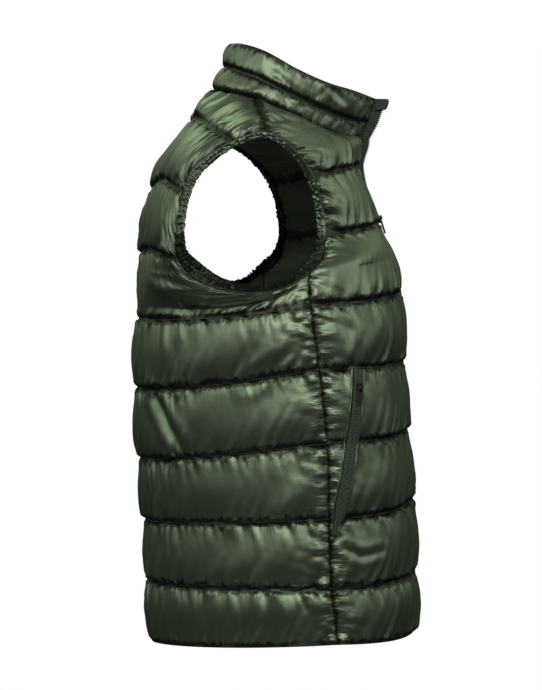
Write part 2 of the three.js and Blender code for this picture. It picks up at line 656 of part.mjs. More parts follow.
// The slider's body, with a bridge on it that the pull's eye goes round
function zipSlider(at) {
  const { length, wide, narrow, thickness, lift } = slider;
  const body = taperedPlate(-length / 2, length / 2, wide, narrow, thickness);
  const arch = new THREE.Shape();
  const half = bridge.length / 2;
  arch.moveTo(-half, -bridge.root);
  arch.lineTo(-half, bridge.height);
  arch.lineTo(half, bridge.height);
  arch.lineTo(half, -bridge.root);
  arch.lineTo(half - bridge.post, -bridge.root);
  arch.lineTo(half - bridge.post, bridge.height - bridge.bar);
  arch.lineTo(-half + bridge.post, bridge.height - bridge.bar);
  arch.lineTo(-half + bridge.post, -bridge.root);
  arch.closePath();
  const standing = new THREE.ExtrudeGeometry(arch, { depth: bridge.width, bevelEnabled: false });
  standing.rotateX(Math.PI / 2);
  standing.translate(0, bridge.width / 2, thickness);
  const whole = joined([body, standing]);
  whole.translate(0, 0, lift);
  return place(whole, at);
}

// The pull: a tab whose eye lies under the slider's bridge. It hangs down along the zip.
function zipPull(at) {
  const rim = pull.axisHeight / 2;
  const hole = new THREE.Path();
  hole.moveTo(rim, -eye.width / 2);
  hole.lineTo(rim + eye.length, -eye.width / 2);
  hole.lineTo(rim + eye.length, eye.width / 2);
  hole.lineTo(rim, eye.width / 2);
  hole.closePath();
  const tab = taperedPlate(-rim, pull.length, pull.wide, pull.narrow, pull.thickness, hole);
  tab.translate(0, 0, -pull.thickness / 2);
  tab.rotateY(radians(pull.droop));
  tab.translate(0, 0, slider.lift + slider.thickness + pull.axisHeight);
  return place(tab, at);
}

function pocketTrimPlace(side) {
  const { point, facing } = pocketAt(pocketSlider);
  const below = pocketAt(pocketSlider + 0.08).point;
  const seat = point.clone().addScaledVector(facing, pocketTapeLift + tapeThickness);
  const down = below.sub(point).normalize();
  return { point: mirrored(seat, side), down: mirrored(down, side), facing: mirrored(facing, side) };
}

function frontTrimPlace() {
  const edge = front.pointAt(0, frontSliderRow);
  const below = front.pointAt(0, frontSliderRow - 0.25);
  const above = front.pointAt(0, frontSliderRow + 0.25);
  const down = below.sub(above).setY(0).normalize();
  const facing = new THREE.Vector3(-down.z, 0, down.x);
  const point = new THREE.Vector3(edge.x, 0, edge.z).addScaledVector(facing, frontSliderSeat);
  return { point, down, facing };
}

// The folded tab of cloth that covers the top end of the wearer's right half of the zip
function zipGarage(side) {
  const top = collarPoint(collarLast, 2);
  const ring = collarRings[2];
  const along = new THREE.Vector3(ring.tapeX, ring.tapeY, 0).normalize();
  const facing = new THREE.Vector3(-ring.tapeY, ring.tapeX, 0).normalize();
  const outline = new THREE.Shape();
  outline.moveTo(garage.start, 0);
  outline.lineTo(garage.end - garage.corner, 0);
  outline.lineTo(garage.end, -garage.corner);
  outline.lineTo(garage.end - garage.corner, -garage.height + garage.corner);
  outline.lineTo(garage.end - 3 * garage.corner, -garage.height);
  outline.lineTo(garage.start, -garage.height);
  outline.closePath();
  const tab = new THREE.ExtrudeGeometry(outline, { depth: garage.thickness, bevelEnabled: false });
  const turned = new THREE.Matrix4().makeBasis(along, new THREE.Vector3(0, 0, 1), facing);
  turned.setPosition(top.addScaledVector(facing, garage.seat));
  tab.applyMatrix4(turned);
  tab.deleteAttribute('normal');
  tab.deleteAttribute('uv');
  const merged = mergeVertices(tab, 1e-4);
  const places = merged.attributes.position;
  const points = Array.from({ length: places.count }, (unused, i) => (
    mirrored(new THREE.Vector3().fromBufferAttribute(places, i), side)));
  return facingOut(points, [...merged.index.array]);
}

function named(name, geometry, finish) {
  const mesh = new THREE.Mesh(geometry, new THREE.MeshStandardMaterial(finish));
  mesh.name = name;
  return mesh;
}

const vest = new THREE.Group();
vest.add(named('back_panel', backPanel(), cloth));
vest.add(named('collar', collar(), cloth));
for (const { name, side } of [{ name: 'right', side: -1 }, { name: 'left', side: 1 }]) {
  vest.add(named(`front_${name}`, frontPanel(side), cloth));
  vest.add(named(`armhole_binding_${name}`, armholeBinding(side), cloth));
  vest.add(named(`front_zip_tape_${name}`, frontZipTape(side), trim));
  vest.add(named(`pocket_zip_tape_${name}`, pocketTape(side), trim));
  vest.add(named(`pocket_zip_slider_${name}`, zipSlider(pocketTrimPlace(side)), metal));
  vest.add(named(`pocket_zip_pull_${name}`, zipPull(pocketTrimPlace(side)), trim));
}
vest.add(named('front_zip_slider', zipSlider(frontTrimPlace()), metal));
vest.add(named('front_zip_pull', zipPull(frontTrimPlace()), trim));
vest.add(named('zip_garage', zipGarage(-1), cloth));

export default vest;
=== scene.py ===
# %% [markdown]
# # A quilted puffer vest
# The vest stands as it does on a wearer, but nobody is in it. It is cut as one back, two fronts
# and a stand collar, each a sandwich of satin nylon, soft fill and lining that is sewn through
# in lines. A gathered binding runs round each armhole, and zips close the front and the pockets.
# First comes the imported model, which says where every piece goes.

# %% The frame
import json
import math

import bmesh
import bpy
import numpy as np
from mathutils import Matrix, Vector, noise


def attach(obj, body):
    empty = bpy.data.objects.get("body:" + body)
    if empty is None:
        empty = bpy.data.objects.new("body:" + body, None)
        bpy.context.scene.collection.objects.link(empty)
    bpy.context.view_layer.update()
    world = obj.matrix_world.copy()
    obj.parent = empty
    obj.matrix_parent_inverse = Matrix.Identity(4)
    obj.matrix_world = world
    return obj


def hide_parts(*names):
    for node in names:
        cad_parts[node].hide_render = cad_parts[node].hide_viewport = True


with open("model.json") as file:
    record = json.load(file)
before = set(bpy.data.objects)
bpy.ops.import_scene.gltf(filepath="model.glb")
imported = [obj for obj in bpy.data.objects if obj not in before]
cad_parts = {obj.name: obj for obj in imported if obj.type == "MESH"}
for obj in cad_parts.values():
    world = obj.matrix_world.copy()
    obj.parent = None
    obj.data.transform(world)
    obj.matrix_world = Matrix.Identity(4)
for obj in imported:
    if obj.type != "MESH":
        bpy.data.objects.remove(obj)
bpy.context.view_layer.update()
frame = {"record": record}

MM = 0.001

# %% [markdown]
# ## Camera
# The vest is seen level, from the wearer's right and a little from behind. A long lens from
# 4.5 m keeps its sides parallel, so the camera goes first and nothing is judged without it.

# %% Camera
CAMERA = {"azimuth": -7.7, "elevation": 1.5, "distance": 4.5, "aim": (0.030, 0.0, -0.306)}
FOCAL_PX = 3600
FRAME_PX = (542, 690)


def add_camera():
    turn, rise = math.radians(CAMERA["azimuth"]), math.radians(CAMERA["elevation"])
    back = Vector((math.sin(turn) * math.cos(rise), -math.cos(turn) * math.cos(rise), math.sin(rise)))
    data = bpy.data.cameras.new("camera")
    data.sensor_width = 36
    data.lens = FOCAL_PX / max(FRAME_PX) * data.sensor_width
    data.clip_start = 0.1
    camera = bpy.data.objects.new("camera", data)
    camera.location = Vector(CAMERA["aim"]) + back * CAMERA["distance"]
    camera.rotation_euler = back.to_track_quat("Z", "Y").to_euler()
    bpy.context.scene.collection.objects.link(camera)
    bpy.context.scene.camera = camera
    return camera


print("lens", round(add_camera().data.lens, 1), "mm")

# %% [markdown]
# ## The pattern
# A maker would draft the vest from a few lines on the body: the side seams, the edge of each
# armhole, the neckline, and rows across the panels where the quilting is sewn. The same tables
# made the solids, in millimetres, so the cloth made here lies where they lie.

# %% Side seam, armhole and neckline
SIDE_SEAM = [(83, 209, -660), (75, 211, -592), (71.5, 213, -509), (69, 214, -418),
             (59.5, 214, -330), (49, 213, -253), (47.5, 206, -216)]

# x, y, z, then the binding's reach and how far it turns in
ARMHOLE = [
    (47.5, 206, -216, 22, 72), (17, 207, -234, 24, 70), (-21, 203, -240, 24, 66),
    (-62, 191, -233, 23, 58), (-91, 177, -219, 21, 44), (-107, 166, -196, 19, 24),
    (-107, 160, -158, 18, 14), (-98, 159, -116, 16, 16), (-88, 163, -90, 14, 42),
    (-70, 173, -74, 13, 68), (-43, 184, -57, 13, 88), (-2, 190, -46, 14, 95),
    (29, 187, -62, 17, 98), (57, 179, -97, 20, 88), (69, 175, -130, 22, 78),
    (73, 178, -168, 22, 74), (66, 190, -198, 22, 72)]
SHOULDER_STATION = 11
HOLE_MIDDLE = (-21, -140)
UPRIGHT_ARC = (15.7, 3.3)

NECKLINE = [(-41, 0, 12), (-29, 48, 7), (0, 80, -2), (40, 78, -20), (84, 62, -41),
            (118, 38, -49), (136, 23, -50)]
NECK_AT_SHOULDER = 2
NECK_SHARE = 0.44
SHOULDER_BOW = 5

# %% Rows of the back and of a front
# x, y and z of a row's start, then what its end lies on, how it turns and how boxy it is
COLUMNS = ("x", "y", "z", "seam", "hole", "neck", "lead", "turn", "square", "bend", "sewn")
BACK_ROWS = [
    (-119, 0, -675, 0, None, None, 0, 90, 0.57, 1, True),
    (-121, 0, -598, 1, None, None, 0, 90, 0.57, 1, True),
    (-124.5, 0, -523, 2, None, None, 0, 90, 0.57, 1.2, True),
    (-132, 0, -446, 3, None, None, 0, 90, 0.57, 1.6, True),
    (-136, 0, -359, 4, None, None, 0, 90, 0.57, 2, True),
    (-134, 0, -273, 5, None, None, 0, 90, 0.57, 3, True),
    (-130, 0, -257, 6, None, None, 0, 90, 0.57, 8, False),
    (-127, 0, -238, None, 2, None, 0, 72, 0.55, 2, False),
    (-124.5, 0, -214, None, 4, None, 0, 36, 0.45, 1.5, False),
    (-121.5, 0, -186, None, 5, None, 0, 22, 0.38, 1.6, True),
    (-112, 0, -142, None, 6, None, 0, 16, 0.36, 1.6, False),
    (-103, 0, -99, None, 7, None, 0, 16, 0.36, 1.6, True),
    (-83, 0, -58, None, 8.6, None, 0, 18, 0.36, 1.5, False),
    (-64, 0, -23, None, 10, None, 0, 20, 0.36, 1.5, True),
    (-41, 0, 12, None, 11, None, 0, 20, 0.36, 1.5, True)]
FRONT_ROWS = [
    (213, 9.6, -660, 0, None, None, 12, 90, 0.58, 1, True),
    (209.5, 9.6, -586, 1, None, None, 12, 90, 0.58, 1, True),
    (206.5, 9.6, -497, 2, None, None, 12, 90, 0.58, 1, True),
    (199.5, 9.6, -411, 3, None, None, 12, 90, 0.58, 1, True),
    (194.5, 9.6, -326, 4, None, None, 12, 90, 0.58, 1, True),
    (191.5, 9.6, -240, 5, None, None, 13, 90, 0.58, 1, True),
    (180, 9.6, -196, 6, None, None, 14, 90, 0.56, 1.4, False),
    (162.5, 9.8, -155, None, 15, None, 14, 58, 0.5, 1.4, True),
    (146, 14, -119, None, 14, None, 12, 54, 0.45, 1.5, False),
    (135, 20, -82, None, 13, None, 10, 52, 0.42, 1.6, True),
    (136, 23, -50, None, 12.5, 6, 12, 44, 0.36, 1.5, False),
    (84, 62, -41, None, 12.1, 4, 6, 24, 0.34, 1.4, False),
    (40, 78, -20, None, 11.6, 3, 2, 8, 0.34, 1.3, False),
    (0, 80, -2, None, 11, 2, 0, 2, 0.34, 1.1, True)]
BACK = {"rows": [dict(zip(COLUMNS, row)) for row in BACK_ROWS], "outward": -1, "upright": (5, 9)}
FRONT = {"rows": [dict(zip(COLUMNS, row)) for row in FRONT_ROWS], "outward": 1, "upright": None}

# reach of the zip's tape at the rows of the front's edge, and at the collar's rings
TAPE_ROWS = [(3, -8.4)] * 7 + [(3.4, -8.6), (7, -7.5), (9, -5.5), (14, -4)]
COLLAR_TAPE = [(14, -4), (13, -3.5), (13, -3)]
COLLAR_RINGS = [
    NECKLINE,
    [(-28, 0, 41), (-17, 46, 34), (9, 76, 21), (48, 79, 2), (88, 66, -15), (124, 42, -26),
     (148, 25, -29)],
    [(-21, 0, 70), (-10, 42, 67), (15, 72, 56), (52, 79, 35), (91, 70, 19), (128, 48, 10),
     (158, 26, 1)]]
print(len(BACK["rows"]), "rows on the back,", len(FRONT["rows"]), "on a front")

# %% [markdown]
# ## Smooth lines and rows
# A seam that was cut with shears has no corners between the measured points. Each line of the
# pattern is a smooth curve that passes through its points, and each row of a panel is one
# curve from the panel's middle round to its edge.


# %% A smooth line through measured points
def smooth_line(points, closed=False):
    places = np.array(points, float)[:, :3]
    count = len(places)
    ends = np.vstack([2 * places[0] - places[1], places, 2 * places[-1] - places[-2]])

    def at(stations):
        station = np.atleast_1d(np.asarray(stations, float))
        if closed:
            low = np.floor(station).astype(int)
            four = places[(low[:, None] + np.arange(-1, 3)) % count]
        else:
            station = np.clip(station, 0, count - 1)
            low = np.minimum(np.floor(station).astype(int), count - 2)
            four = ends[low[:, None] + np.arange(4)]
        t = (station - low)[:, None]
        gaps = np.sqrt(np.linalg.norm(np.diff(four, axis=1), axis=2))
        g0, g1, g2 = gaps[:, :1], gaps[:, 1:2], gaps[:, 2:3]
        p0, p1, p2, p3 = (four[:, k] for k in range(4))
        out = ((p1 - p0) / g0 - (p2 - p0) / (g0 + g1) + (p2 - p1) / g1) * g1
        into = ((p2 - p1) / g1 - (p3 - p1) / (g1 + g2) + (p3 - p2) / g2) * g1
        bent = -3 * p1 + 3 * p2 - 2 * out - into
        twice = 2 * p1 - 2 * p2 + out + into
        return p1 + t * (out + t * (bent + t * twice))

    return at


seam_at = smooth_line(SIDE_SEAM)
hole_at = smooth_line(ARMHOLE, closed=True)
neck_at = smooth_line(NECKLINE)
for panel in (BACK, FRONT):
    panel["centre"] = smooth_line([(row["x"], row["y"], row["z"]) for row in panel["rows"]])


# %% A column of a table between its rows
def smooth_value(values, row):
    low = min(int(row), len(values) - 2)
    before, a, b, after = (values[min(max(low + k, 0), len(values) - 1)] for k in (-1, 0, 1, 2))
    t = row - low
    rise = t * t * (3 - 2 * t)
    return a + (b - a) * rise + (b - before) / 2 * t * (1 - t) ** 2 - (after - a) / 2 * t * t * (1 - t)


def hole_station(panel, row):
    low = min(int(row), len(panel["rows"]) - 2)
    lower, upper = panel["rows"][low], panel["rows"][low + 1]
    if upper["hole"] is None:
        return None
    start = lower["hole"]
    if start is None:
        start = len(ARMHOLE) if upper["hole"] > SHOULDER_STATION else 0
    return start + (upper["hole"] - start) * (row - low)


# %% A row of a panel, from its middle to its edge
def plain_row(panel, shares, row):
    rows = panel["rows"]
    low = min(int(row), len(rows) - 2)
    lower, upper, part = rows[low], rows[low + 1], row - low
    start = panel["centre"](row)[0]
    if lower["neck"] is not None and upper["neck"] is not None:
        start = neck_at(lower["neck"] + (upper["neck"] - lower["neck"]) * part)[0]
    station = hole_station(panel, row)
    if station is None:
        edge = seam_at(lower["seam"] + (upper["seam"] - lower["seam"]) * part)[0]
    else:
        edge = hole_at(station)[0]
    lead, turn, square, bend = (
        smooth_value([entry[name] for entry in rows], row) for name in ("lead", "turn", "square", "bend"))
    forward = 1 if edge[0] >= start[0] else -1
    reach = np.array([abs(edge[0] - start[0]), edge[1] - start[1]])
    first, last = math.radians(lead), math.radians(turn)
    handles = []
    for angle in (first, last):
        heading = np.array([math.sin(angle), math.cos(angle)])
        handles.append(heading * (forward, 1) * square * float(reach @ heading))
    t = np.asarray(shares, float)[:, None]
    flat = ((1 - t) ** 3 * start[:2] + 3 * (1 - t) ** 2 * t * (start[:2] + handles[0])
            + 3 * (1 - t) * t * t * (edge[:2] - handles[1]) + t ** 3 * edge[:2])
    height = start[2] + (edge[2] - start[2]) * t ** bend
    return np.hstack([flat, height])


def shoulder_at(shares):
    ends = neck_at(NECK_AT_SHOULDER)[0], hole_at(SHOULDER_STATION)[0]
    t = np.asarray(shares, float)[:, None]
    return ends[0] + (ends[1] - ends[0]) * t + np.array([0, 0, SHOULDER_BOW]) * np.sin(np.pi * t)


def top_row(panel, shares):
    if panel is FRONT:
        return shoulder_at(shares)
    shares = np.asarray(shares, float)
    neck = neck_at(NECK_AT_SHOULDER * np.minimum(shares / NECK_SHARE, 1))
    shoulder = shoulder_at(np.maximum(shares - NECK_SHARE, 0) / (1 - NECK_SHARE))
    return np.where((shares < NECK_SHARE)[:, None], neck, shoulder)


def panel_row(panel, shares, row):
    last = len(panel["rows"]) - 1
    line = plain_row(panel, shares, row)
    if row > last - 1:
        line = line + (top_row(panel, shares) - plain_row(panel, shares, last)) * (row - last + 1)
    return line


print("back length", round(float(np.linalg.norm(panel_row(BACK, [0], 0) - panel_row(BACK, [0], 14)))), "mm")

# %% [markdown]
# ## Stitched surfaces as fine grids
# Quilted cloth is flat only where it is sewn. The sewn surface is laid out first, as a grid with
# a thread of points every few millimetres, and each point is told how far it lies from the
# nearest stitching: that is what the fill, the puckers and the shading all depend on.

# %% A panel laid out as a grid
STEP_MM = 2.9
SIMULATED_STEP_MM = 4.6
WALL_MM = 3
PUFF = {"height": 11.0, "rise": 6, "neck_rise": 16, "sag": 0.74, "hem_sag": 1.3, "wander": 0.35,
        "round": 0.75}


def even_shares(panel, row, step):
    fine = np.linspace(0, 1, 400)
    line = panel_row(panel, fine, row)
    run = np.concatenate([[0], np.cumsum(np.linalg.norm(np.diff(line, axis=0), axis=1))])
    return np.interp(np.linspace(0, run[-1], round(run[-1] / step) + 1), run, fine)


def even_rows(panel, step):
    """Grid rows: every row of the table, and evenly spaced ones between them."""
    places = []
    for low in range(len(panel["rows"]) - 1):
        ends = panel_row(panel, [0.15, 0.8], low), panel_row(panel, [0.15, 0.8], low + 1)
        length = float(np.linalg.norm(ends[1] - ends[0], axis=1).max())
        places.extend(low + np.arange(max(round(length / step), 2)) / max(round(length / step), 2))
    return np.array([*places, len(panel["rows"]) - 1])


def unit(vectors):
    return vectors / np.maximum(np.linalg.norm(vectors, axis=-1, keepdims=True), 1e-9)


def facings(panel, grid, rows, shares):
    """Outward directions of a stitched grid."""
    along, up = np.gradient(grid, axis=1), np.gradient(grid, axis=0)
    out = unit(np.cross(along, up))
    if panel["upright"]:
        start, end = panel["upright"]
        part = np.clip(np.minimum(rows - start, end - rows), 0, 1)[:, None, None]
        level = unit(np.stack([along[..., 1], -along[..., 0], 0 * along[..., 0]], axis=-1))
        out = unit(out * (1 - part) + level * part)
    out = out * panel["outward"]
    across = unit(shoulder_at([1]) - shoulder_at([0]))[0]
    shoulder = unit(np.array([0, -across[2], across[1]]))
    sewn = shares >= (NECK_SHARE if panel is BACK else 0)
    near = np.clip(rows - (len(panel["rows"]) - 2), 0, 1)[:, None, None] ** 3
    mixed = unit(out * (1 - near) + shoulder * near)
    out = np.where(sewn[None, :, None], mixed, out)
    if panel is BACK:
        out[:, 0, 1] = 0
    return unit(out)


def lay_out(panel, step=STEP_MM):
    rows, shares = even_rows(panel, step), even_shares(panel, 4, step)
    grid = np.stack([panel_row(panel, shares, row) for row in rows])
    sewn_rows = [k for k, row in enumerate(panel["rows"]) if row["sewn"]]
    sewn = {k: panel_row(panel, shares, k) for k in sewn_rows}
    below = np.stack([sewn[max(k for k in sewn_rows if k <= min(row, len(panel["rows"]) - 1.5))]
                      for row in rows])
    above = np.stack([sewn[min(k for k in sewn_rows if k > row or k == len(panel["rows"]) - 1)]
                      for row in rows])
    to_lower = np.linalg.norm(grid - below, axis=2)
    to_upper = np.linalg.norm(grid - above, axis=2)
    run = np.linalg.norm(np.diff(grid, axis=1), axis=2)
    along = np.concatenate([np.zeros((len(rows), 1)), np.cumsum(run, axis=1)], axis=1)
    climb = np.linalg.norm(np.diff(grid, axis=0), axis=2)
    up = np.concatenate([np.zeros((1, len(shares))), np.cumsum(climb, axis=0)], axis=0)
    return {"grid": grid, "rows": rows, "shares": shares, "out": facings(panel, grid, rows, shares),
            "lower": to_lower, "upper": to_upper, "edge": along[:, -1:] - along, "along": along, "up": up,
            "open": panel is FRONT, "height": PUFF["height"], "gather": 0.9, "seed": 41.0,
            "sag": np.where(rows < 1, PUFF["hem_sag"], PUFF["sag"])[:, None],
            "centre_rise": np.where(rows > 9, PUFF["neck_rise"], PUFF["rise"])[:, None],
            "sewn_rows": [k for k, row in enumerate(panel["rows"]) if row["sewn"]]}


def bell(distance, rise):
    return 1 - np.exp(-distance / rise)


SEED = Vector((3.1, 7.7, 1.3))


def folds(along, up, across_mm, down_mm, seed=0.0, lean=0.0, depth=1):
    """Noise of folds across_mm apart along a row and down_mm long up the panel, from -1 to 1."""
    leaning = along + lean * up
    flat = [noise.fractal(Vector((a / across_mm, u / down_mm, seed)) + SEED, 0.9, 2.0, depth)
            for a, u in zip(leaning.ravel(), up.ravel())]
    return np.array(flat).reshape(along.shape)


def puff(laid):
    """How far the fill lifts the cloth over the stitched surface, in millimetres. The fill has
    sunk a little, so a channel's crown lies under its middle."""
    total = np.maximum(laid["lower"] + laid["upper"], 1e-6)
    sag = laid["sag"] + PUFF["wander"] * folds(laid["along"], laid["up"], 55, 90, laid["seed"], 0.4)
    crown = np.sin(np.pi * (laid["lower"] / total) ** sag) ** PUFF["round"]
    lift = laid["height"] * np.nan_to_num(crown) * bell(laid["edge"], PUFF["rise"])
    return lift * bell(laid["along"], laid["centre_rise"]) if laid["open"] else lift


POCKET = {"top": (0.8, 3.88), "end": (0.98, 1.78), "width": 13, "lift": 1.2, "start": -0.05}


def cad_puff(laid):
    """The plainer puff of the solids, on which the pocket's tape and slider lie."""
    total = np.maximum(laid["lower"] + laid["upper"], 1e-6)
    crown = 0.85 + 0.15 * np.sin(np.pi * laid["lower"] / total)
    lift = 9.5 * crown * bell(laid["lower"], 8) * bell(laid["upper"], 8) * bell(laid["edge"], 8)
    return lift * bell(laid["along"], 8)


def pocket_spots(shares):
    """Shares and rows of the front at places along the zip, from its top down."""
    shares = np.asarray(shares)
    return [POCKET["top"][k] + (POCKET["end"][k] - POCKET["top"][k]) * shares for k in (0, 1)]


def read_between(values, places, wanted):
    """Smooth values between the places of axis 0."""
    low = np.clip(np.searchsorted(places, wanted, side="right") - 1, 0, len(places) - 2)
    shape = (-1,) + (1,) * (values.ndim - 1)
    t = ((wanted - places[low]) / (places[low + 1] - places[low])).reshape(shape)
    before, a, b, after = (values[np.clip(low + k, 0, len(places) - 1)] for k in (-1, 0, 1, 2))
    slope_a, slope_b = (b - before) / 2, (after - a) / 2
    return (a * (1 + 2 * t) * (1 - t) ** 2 + slope_a * t * (1 - t) ** 2
            + b * t * t * (3 - 2 * t) - slope_b * t * t * (1 - t))


def read_spots(laid, values, shares, rows):
    """Values of a grid at single spots of the panel."""
    return np.array([read_between(read_between(values, laid["rows"], np.array([row]))[0],
                                  laid["shares"], np.array([share]))[0]
                     for share, row in zip(shares, rows)])


def zip_line(laid, count=120):
    """Places under the pocket's zip, their outward directions, and how high the tape rides. It
    is too stiff to dip into the quilting, and bridges each sewn line instead."""
    shares, rows = pocket_spots(np.linspace(POCKET["start"], 1, count))
    line, out = read_spots(laid, laid["grid"], shares, rows), read_spots(laid, laid["out"], shares, rows)
    lift = read_spots(laid, cad_puff(laid), shares, rows)
    run = np.linspace(0, 1, count) * np.linalg.norm(np.diff(line, axis=0), axis=1).sum()
    bridged = np.max(lift[None, :] - 0.13 * np.abs(run[:, None] - run[None, :]), axis=1)
    return line, unit(out), bridged


def set_under_zip(laid):
    """For each point, its distance from the zip and the height at which the tape holds it."""
    line, _, bridged = zip_line(laid)
    off = np.sqrt(np.sum((laid["grid"][:, :, None, :] - line) ** 2, axis=3))
    laid["off_zip"] = np.maximum(off.min(axis=2) - POCKET["width"] / 2, 0)
    laid["zip_height"] = bridged[off.argmin(axis=2)]


def held_by_zip(laid, lift):
    """Cloth lies close under the tape, and rises or falls away from it on both sides."""
    target, away = laid["zip_height"] - 0.7, 0.6 * laid["off_zip"]
    return np.minimum(np.maximum(lift, target - 1.6 * away), target + away)


laid_back, laid_front = lay_out(BACK), lay_out(FRONT)
coarse_back, coarse_front = lay_out(BACK, SIMULATED_STEP_MM), lay_out(FRONT, SIMULATED_STEP_MM)
for laid in (laid_front, coarse_front):
    set_under_zip(laid)
print("back", laid_back["grid"].shape, "front", laid_front["grid"].shape)

# %% [markdown]
# ## Materials
# Satin nylon is a dense weave of shiny filament: dark olive in the folds, pale and soft-edged
# where it catches the light. Everything else is matt beside it: the lining, the woven zip tape,
# the thread and the dark metal. Each colour is an sRGB value that one function turns to linear.


# %% Colours and a helper that adds one node
def linear(code, alpha=1.0):
    parts = [int(code[k:k + 2], 16) / 255 for k in (1, 3, 5)]
    return tuple(c / 12.92 if c <= 0.04045 else ((c + 0.055) / 1.055) ** 2.4 for c in parts) + (alpha,)


def add_node(tree, kind, inputs=None, **settings):
    """Adds a node. inputs maps a socket to a value or to another node's output."""
    node = tree.nodes.new(kind)
    for name, value in settings.items():
        setattr(node, name, value)
    for name, value in (inputs or {}).items():
        if isinstance(value, bpy.types.NodeSocket):
            tree.links.new(value, node.inputs[name])
        else:
            node.inputs[name].default_value = value
    return node


def new_material(name, **shader_values):
    made = bpy.data.materials.new(name)
    made.use_nodes = True
    shader = made.node_tree.nodes["Principled BSDF"]
    for socket, value in shader_values.items():
        shader.inputs[socket.replace("_", " ")].default_value = value
    return made, made.node_tree, shader


# %% [markdown]
# ### Satin nylon
# The cloth is a woven taffeta of nylon filament, calendered so that it shines. It gives the eye
# four things: a broad sheen, tinted like satin and so set nearly metallic, that follows the
# puffs; short pleats that run away from each stitched line; jagged dark shade close beside it,
# which is painted shade mixed into the colour; and a fine liveliness of the weave. The large
# pleats are in the mesh, and those of 8 mm and less are bump, drawn out across the stitching.
# The lining is the same cloth left matt.


# %% Satin nylon for the shell
def satin_nylon(name, dark, light, crinkle=1.0, crevice_shade="#1a2018"):
    made, tree, shader = new_material(
        name, Roughness=0.42, Metallic=0.82, Anisotropic=0.3,
        Specular_Tint=(0.45, 0.55, 0.4, 1))
    cloth = add_node(tree, "ShaderNodeUVMap", uv_map="cloth")
    near = add_node(tree, "ShaderNodeAttribute", attribute_name="sewn")
    stretch = add_node(tree, "ShaderNodeMapping", {"Vector": cloth.outputs["UV"], "Scale": (130, 32, 1)})
    pleats = add_node(tree, "ShaderNodeTexNoise",
                      {"Vector": stretch.outputs["Vector"], "Scale": 1.0, "Detail": 3.0, "Roughness": 0.6})
    pleat_depth = add_node(tree, "ShaderNodeMath",
                           {0: near.outputs["Fac"], 1: pleats.outputs["Fac"]}, operation="MULTIPLY")
    slack = add_node(tree, "ShaderNodeMapping", {"Vector": cloth.outputs["UV"], "Scale": (26, 14, 1)})
    wrinkles = add_node(tree, "ShaderNodeTexNoise", {"Vector": slack.outputs["Vector"], "Scale": 1.0,
                                                     "Detail": 4.0, "Roughness": 0.55, "Distortion": 0.6})
    weave = add_node(tree, "ShaderNodeTexNoise",
                     {"Vector": cloth.outputs["UV"], "Scale": 900.0, "Detail": 1.0})
    fine = add_node(tree, "ShaderNodeBump", {"Height": weave.outputs["Fac"], "Strength": 0.10,
                                             "Distance": 0.0004})
    joined = add_node(tree, "ShaderNodeAttribute", attribute_name="seam")
    crosswise = add_node(tree, "ShaderNodeMapping", {"Vector": cloth.outputs["UV"], "Scale": (48, 150, 1)})
    herringbone = add_node(tree, "ShaderNodeTexNoise",
                           {"Vector": crosswise.outputs["Vector"], "Scale": 1.0, "Detail": 2.0})
    seam_depth = add_node(tree, "ShaderNodeMath",
                          {0: joined.outputs["Fac"], 1: herringbone.outputs["Fac"]}, operation="MULTIPLY")
    soft = add_node(tree, "ShaderNodeBump", {"Height": wrinkles.outputs["Fac"], "Strength": 0.16 * crinkle,
                                             "Distance": 0.005, "Normal": fine.outputs["Normal"]})
    sharp = add_node(tree, "ShaderNodeBump", {"Height": pleat_depth.outputs[0], "Strength": 0.9 * crinkle,
                                              "Distance": 0.0035, "Normal": soft.outputs["Normal"]})
    drawn = add_node(tree, "ShaderNodeBump", {"Height": seam_depth.outputs[0], "Strength": 1.0 * crinkle,
                                              "Distance": 0.005, "Normal": sharp.outputs["Normal"]})
    tone = add_node(tree, "ShaderNodeTexNoise",
                    {"Vector": cloth.outputs["UV"], "Scale": 22.0, "Detail": 3.0, "Roughness": 0.6})
    shades = add_node(tree, "ShaderNodeMix", {0: tone.outputs["Fac"], 6: linear(dark), 7: linear(light)},
                      data_type="RGBA")
    # Painted shade: jagged dark patches beside the stitched lines and the panels' edges, where the creases
    # lie in shade, mixed into the base colour as a near-black crease colour.
    jagged = add_node(tree, "ShaderNodeMath", {0: near.outputs["Fac"], 1: pleats.outputs["Fac"]},
                      operation="SUBTRACT")
    pointed = add_node(tree, "ShaderNodeMath", {0: joined.outputs["Fac"], 1: herringbone.outputs["Fac"]},
                       operation="SUBTRACT")
    deeper = add_node(tree, "ShaderNodeMath", {0: jagged.outputs[0], 1: pointed.outputs[0]},
                      operation="MAXIMUM")
    crease = add_node(tree, "ShaderNodeMapRange", {"Value": deeper.outputs[0], "From Min": 0.0,
                                                   "From Max": 0.16, "To Max": 0.85})
    shaded = add_node(tree, "ShaderNodeMix", {0: crease.outputs[0], 6: shades.outputs[2],
                                              7: linear(crevice_shade)}, data_type="RGBA")
    tree.links.new(shaded.outputs[2], shader.inputs["Base Color"])
    tree.links.new(drawn.outputs["Normal"], shader.inputs["Normal"])
    return made


shell_nylon = satin_nylon("satin nylon taffeta, olive", "#586450", "#68755f")
# Painted shade: the binding is the shell's own cloth, given darker colours and a darker crease colour than
# the shell because it lies in shade round the armhole.
binding_nylon_shaded = satin_nylon("gathered nylon taffeta, olive, painted darker", "#4a5644", "#596652", 1.2, "#121711")
lining_nylon = satin_nylon("matt nylon lining, black", "#454f41", "#58624f", 0.8, "#161b13")
lining_shader = lining_nylon.node_tree.nodes["Principled BSDF"]
lining_shader.inputs["Roughness"].default_value = 0.55
lining_shader.inputs["Metallic"].default_value = 0.0
print([made.name for made in (shell_nylon, binding_nylon_shaded, lining_nylon)])

# %% [markdown]
# ## Grids of cloth
# bmesh lays a flat grid, and each of its points is moved to its place on the vest, so the cloth
# keeps a pattern of warp and weft. A quilted panel is two such grids, shell and lining, bridged
# round their edges into one closed pad.


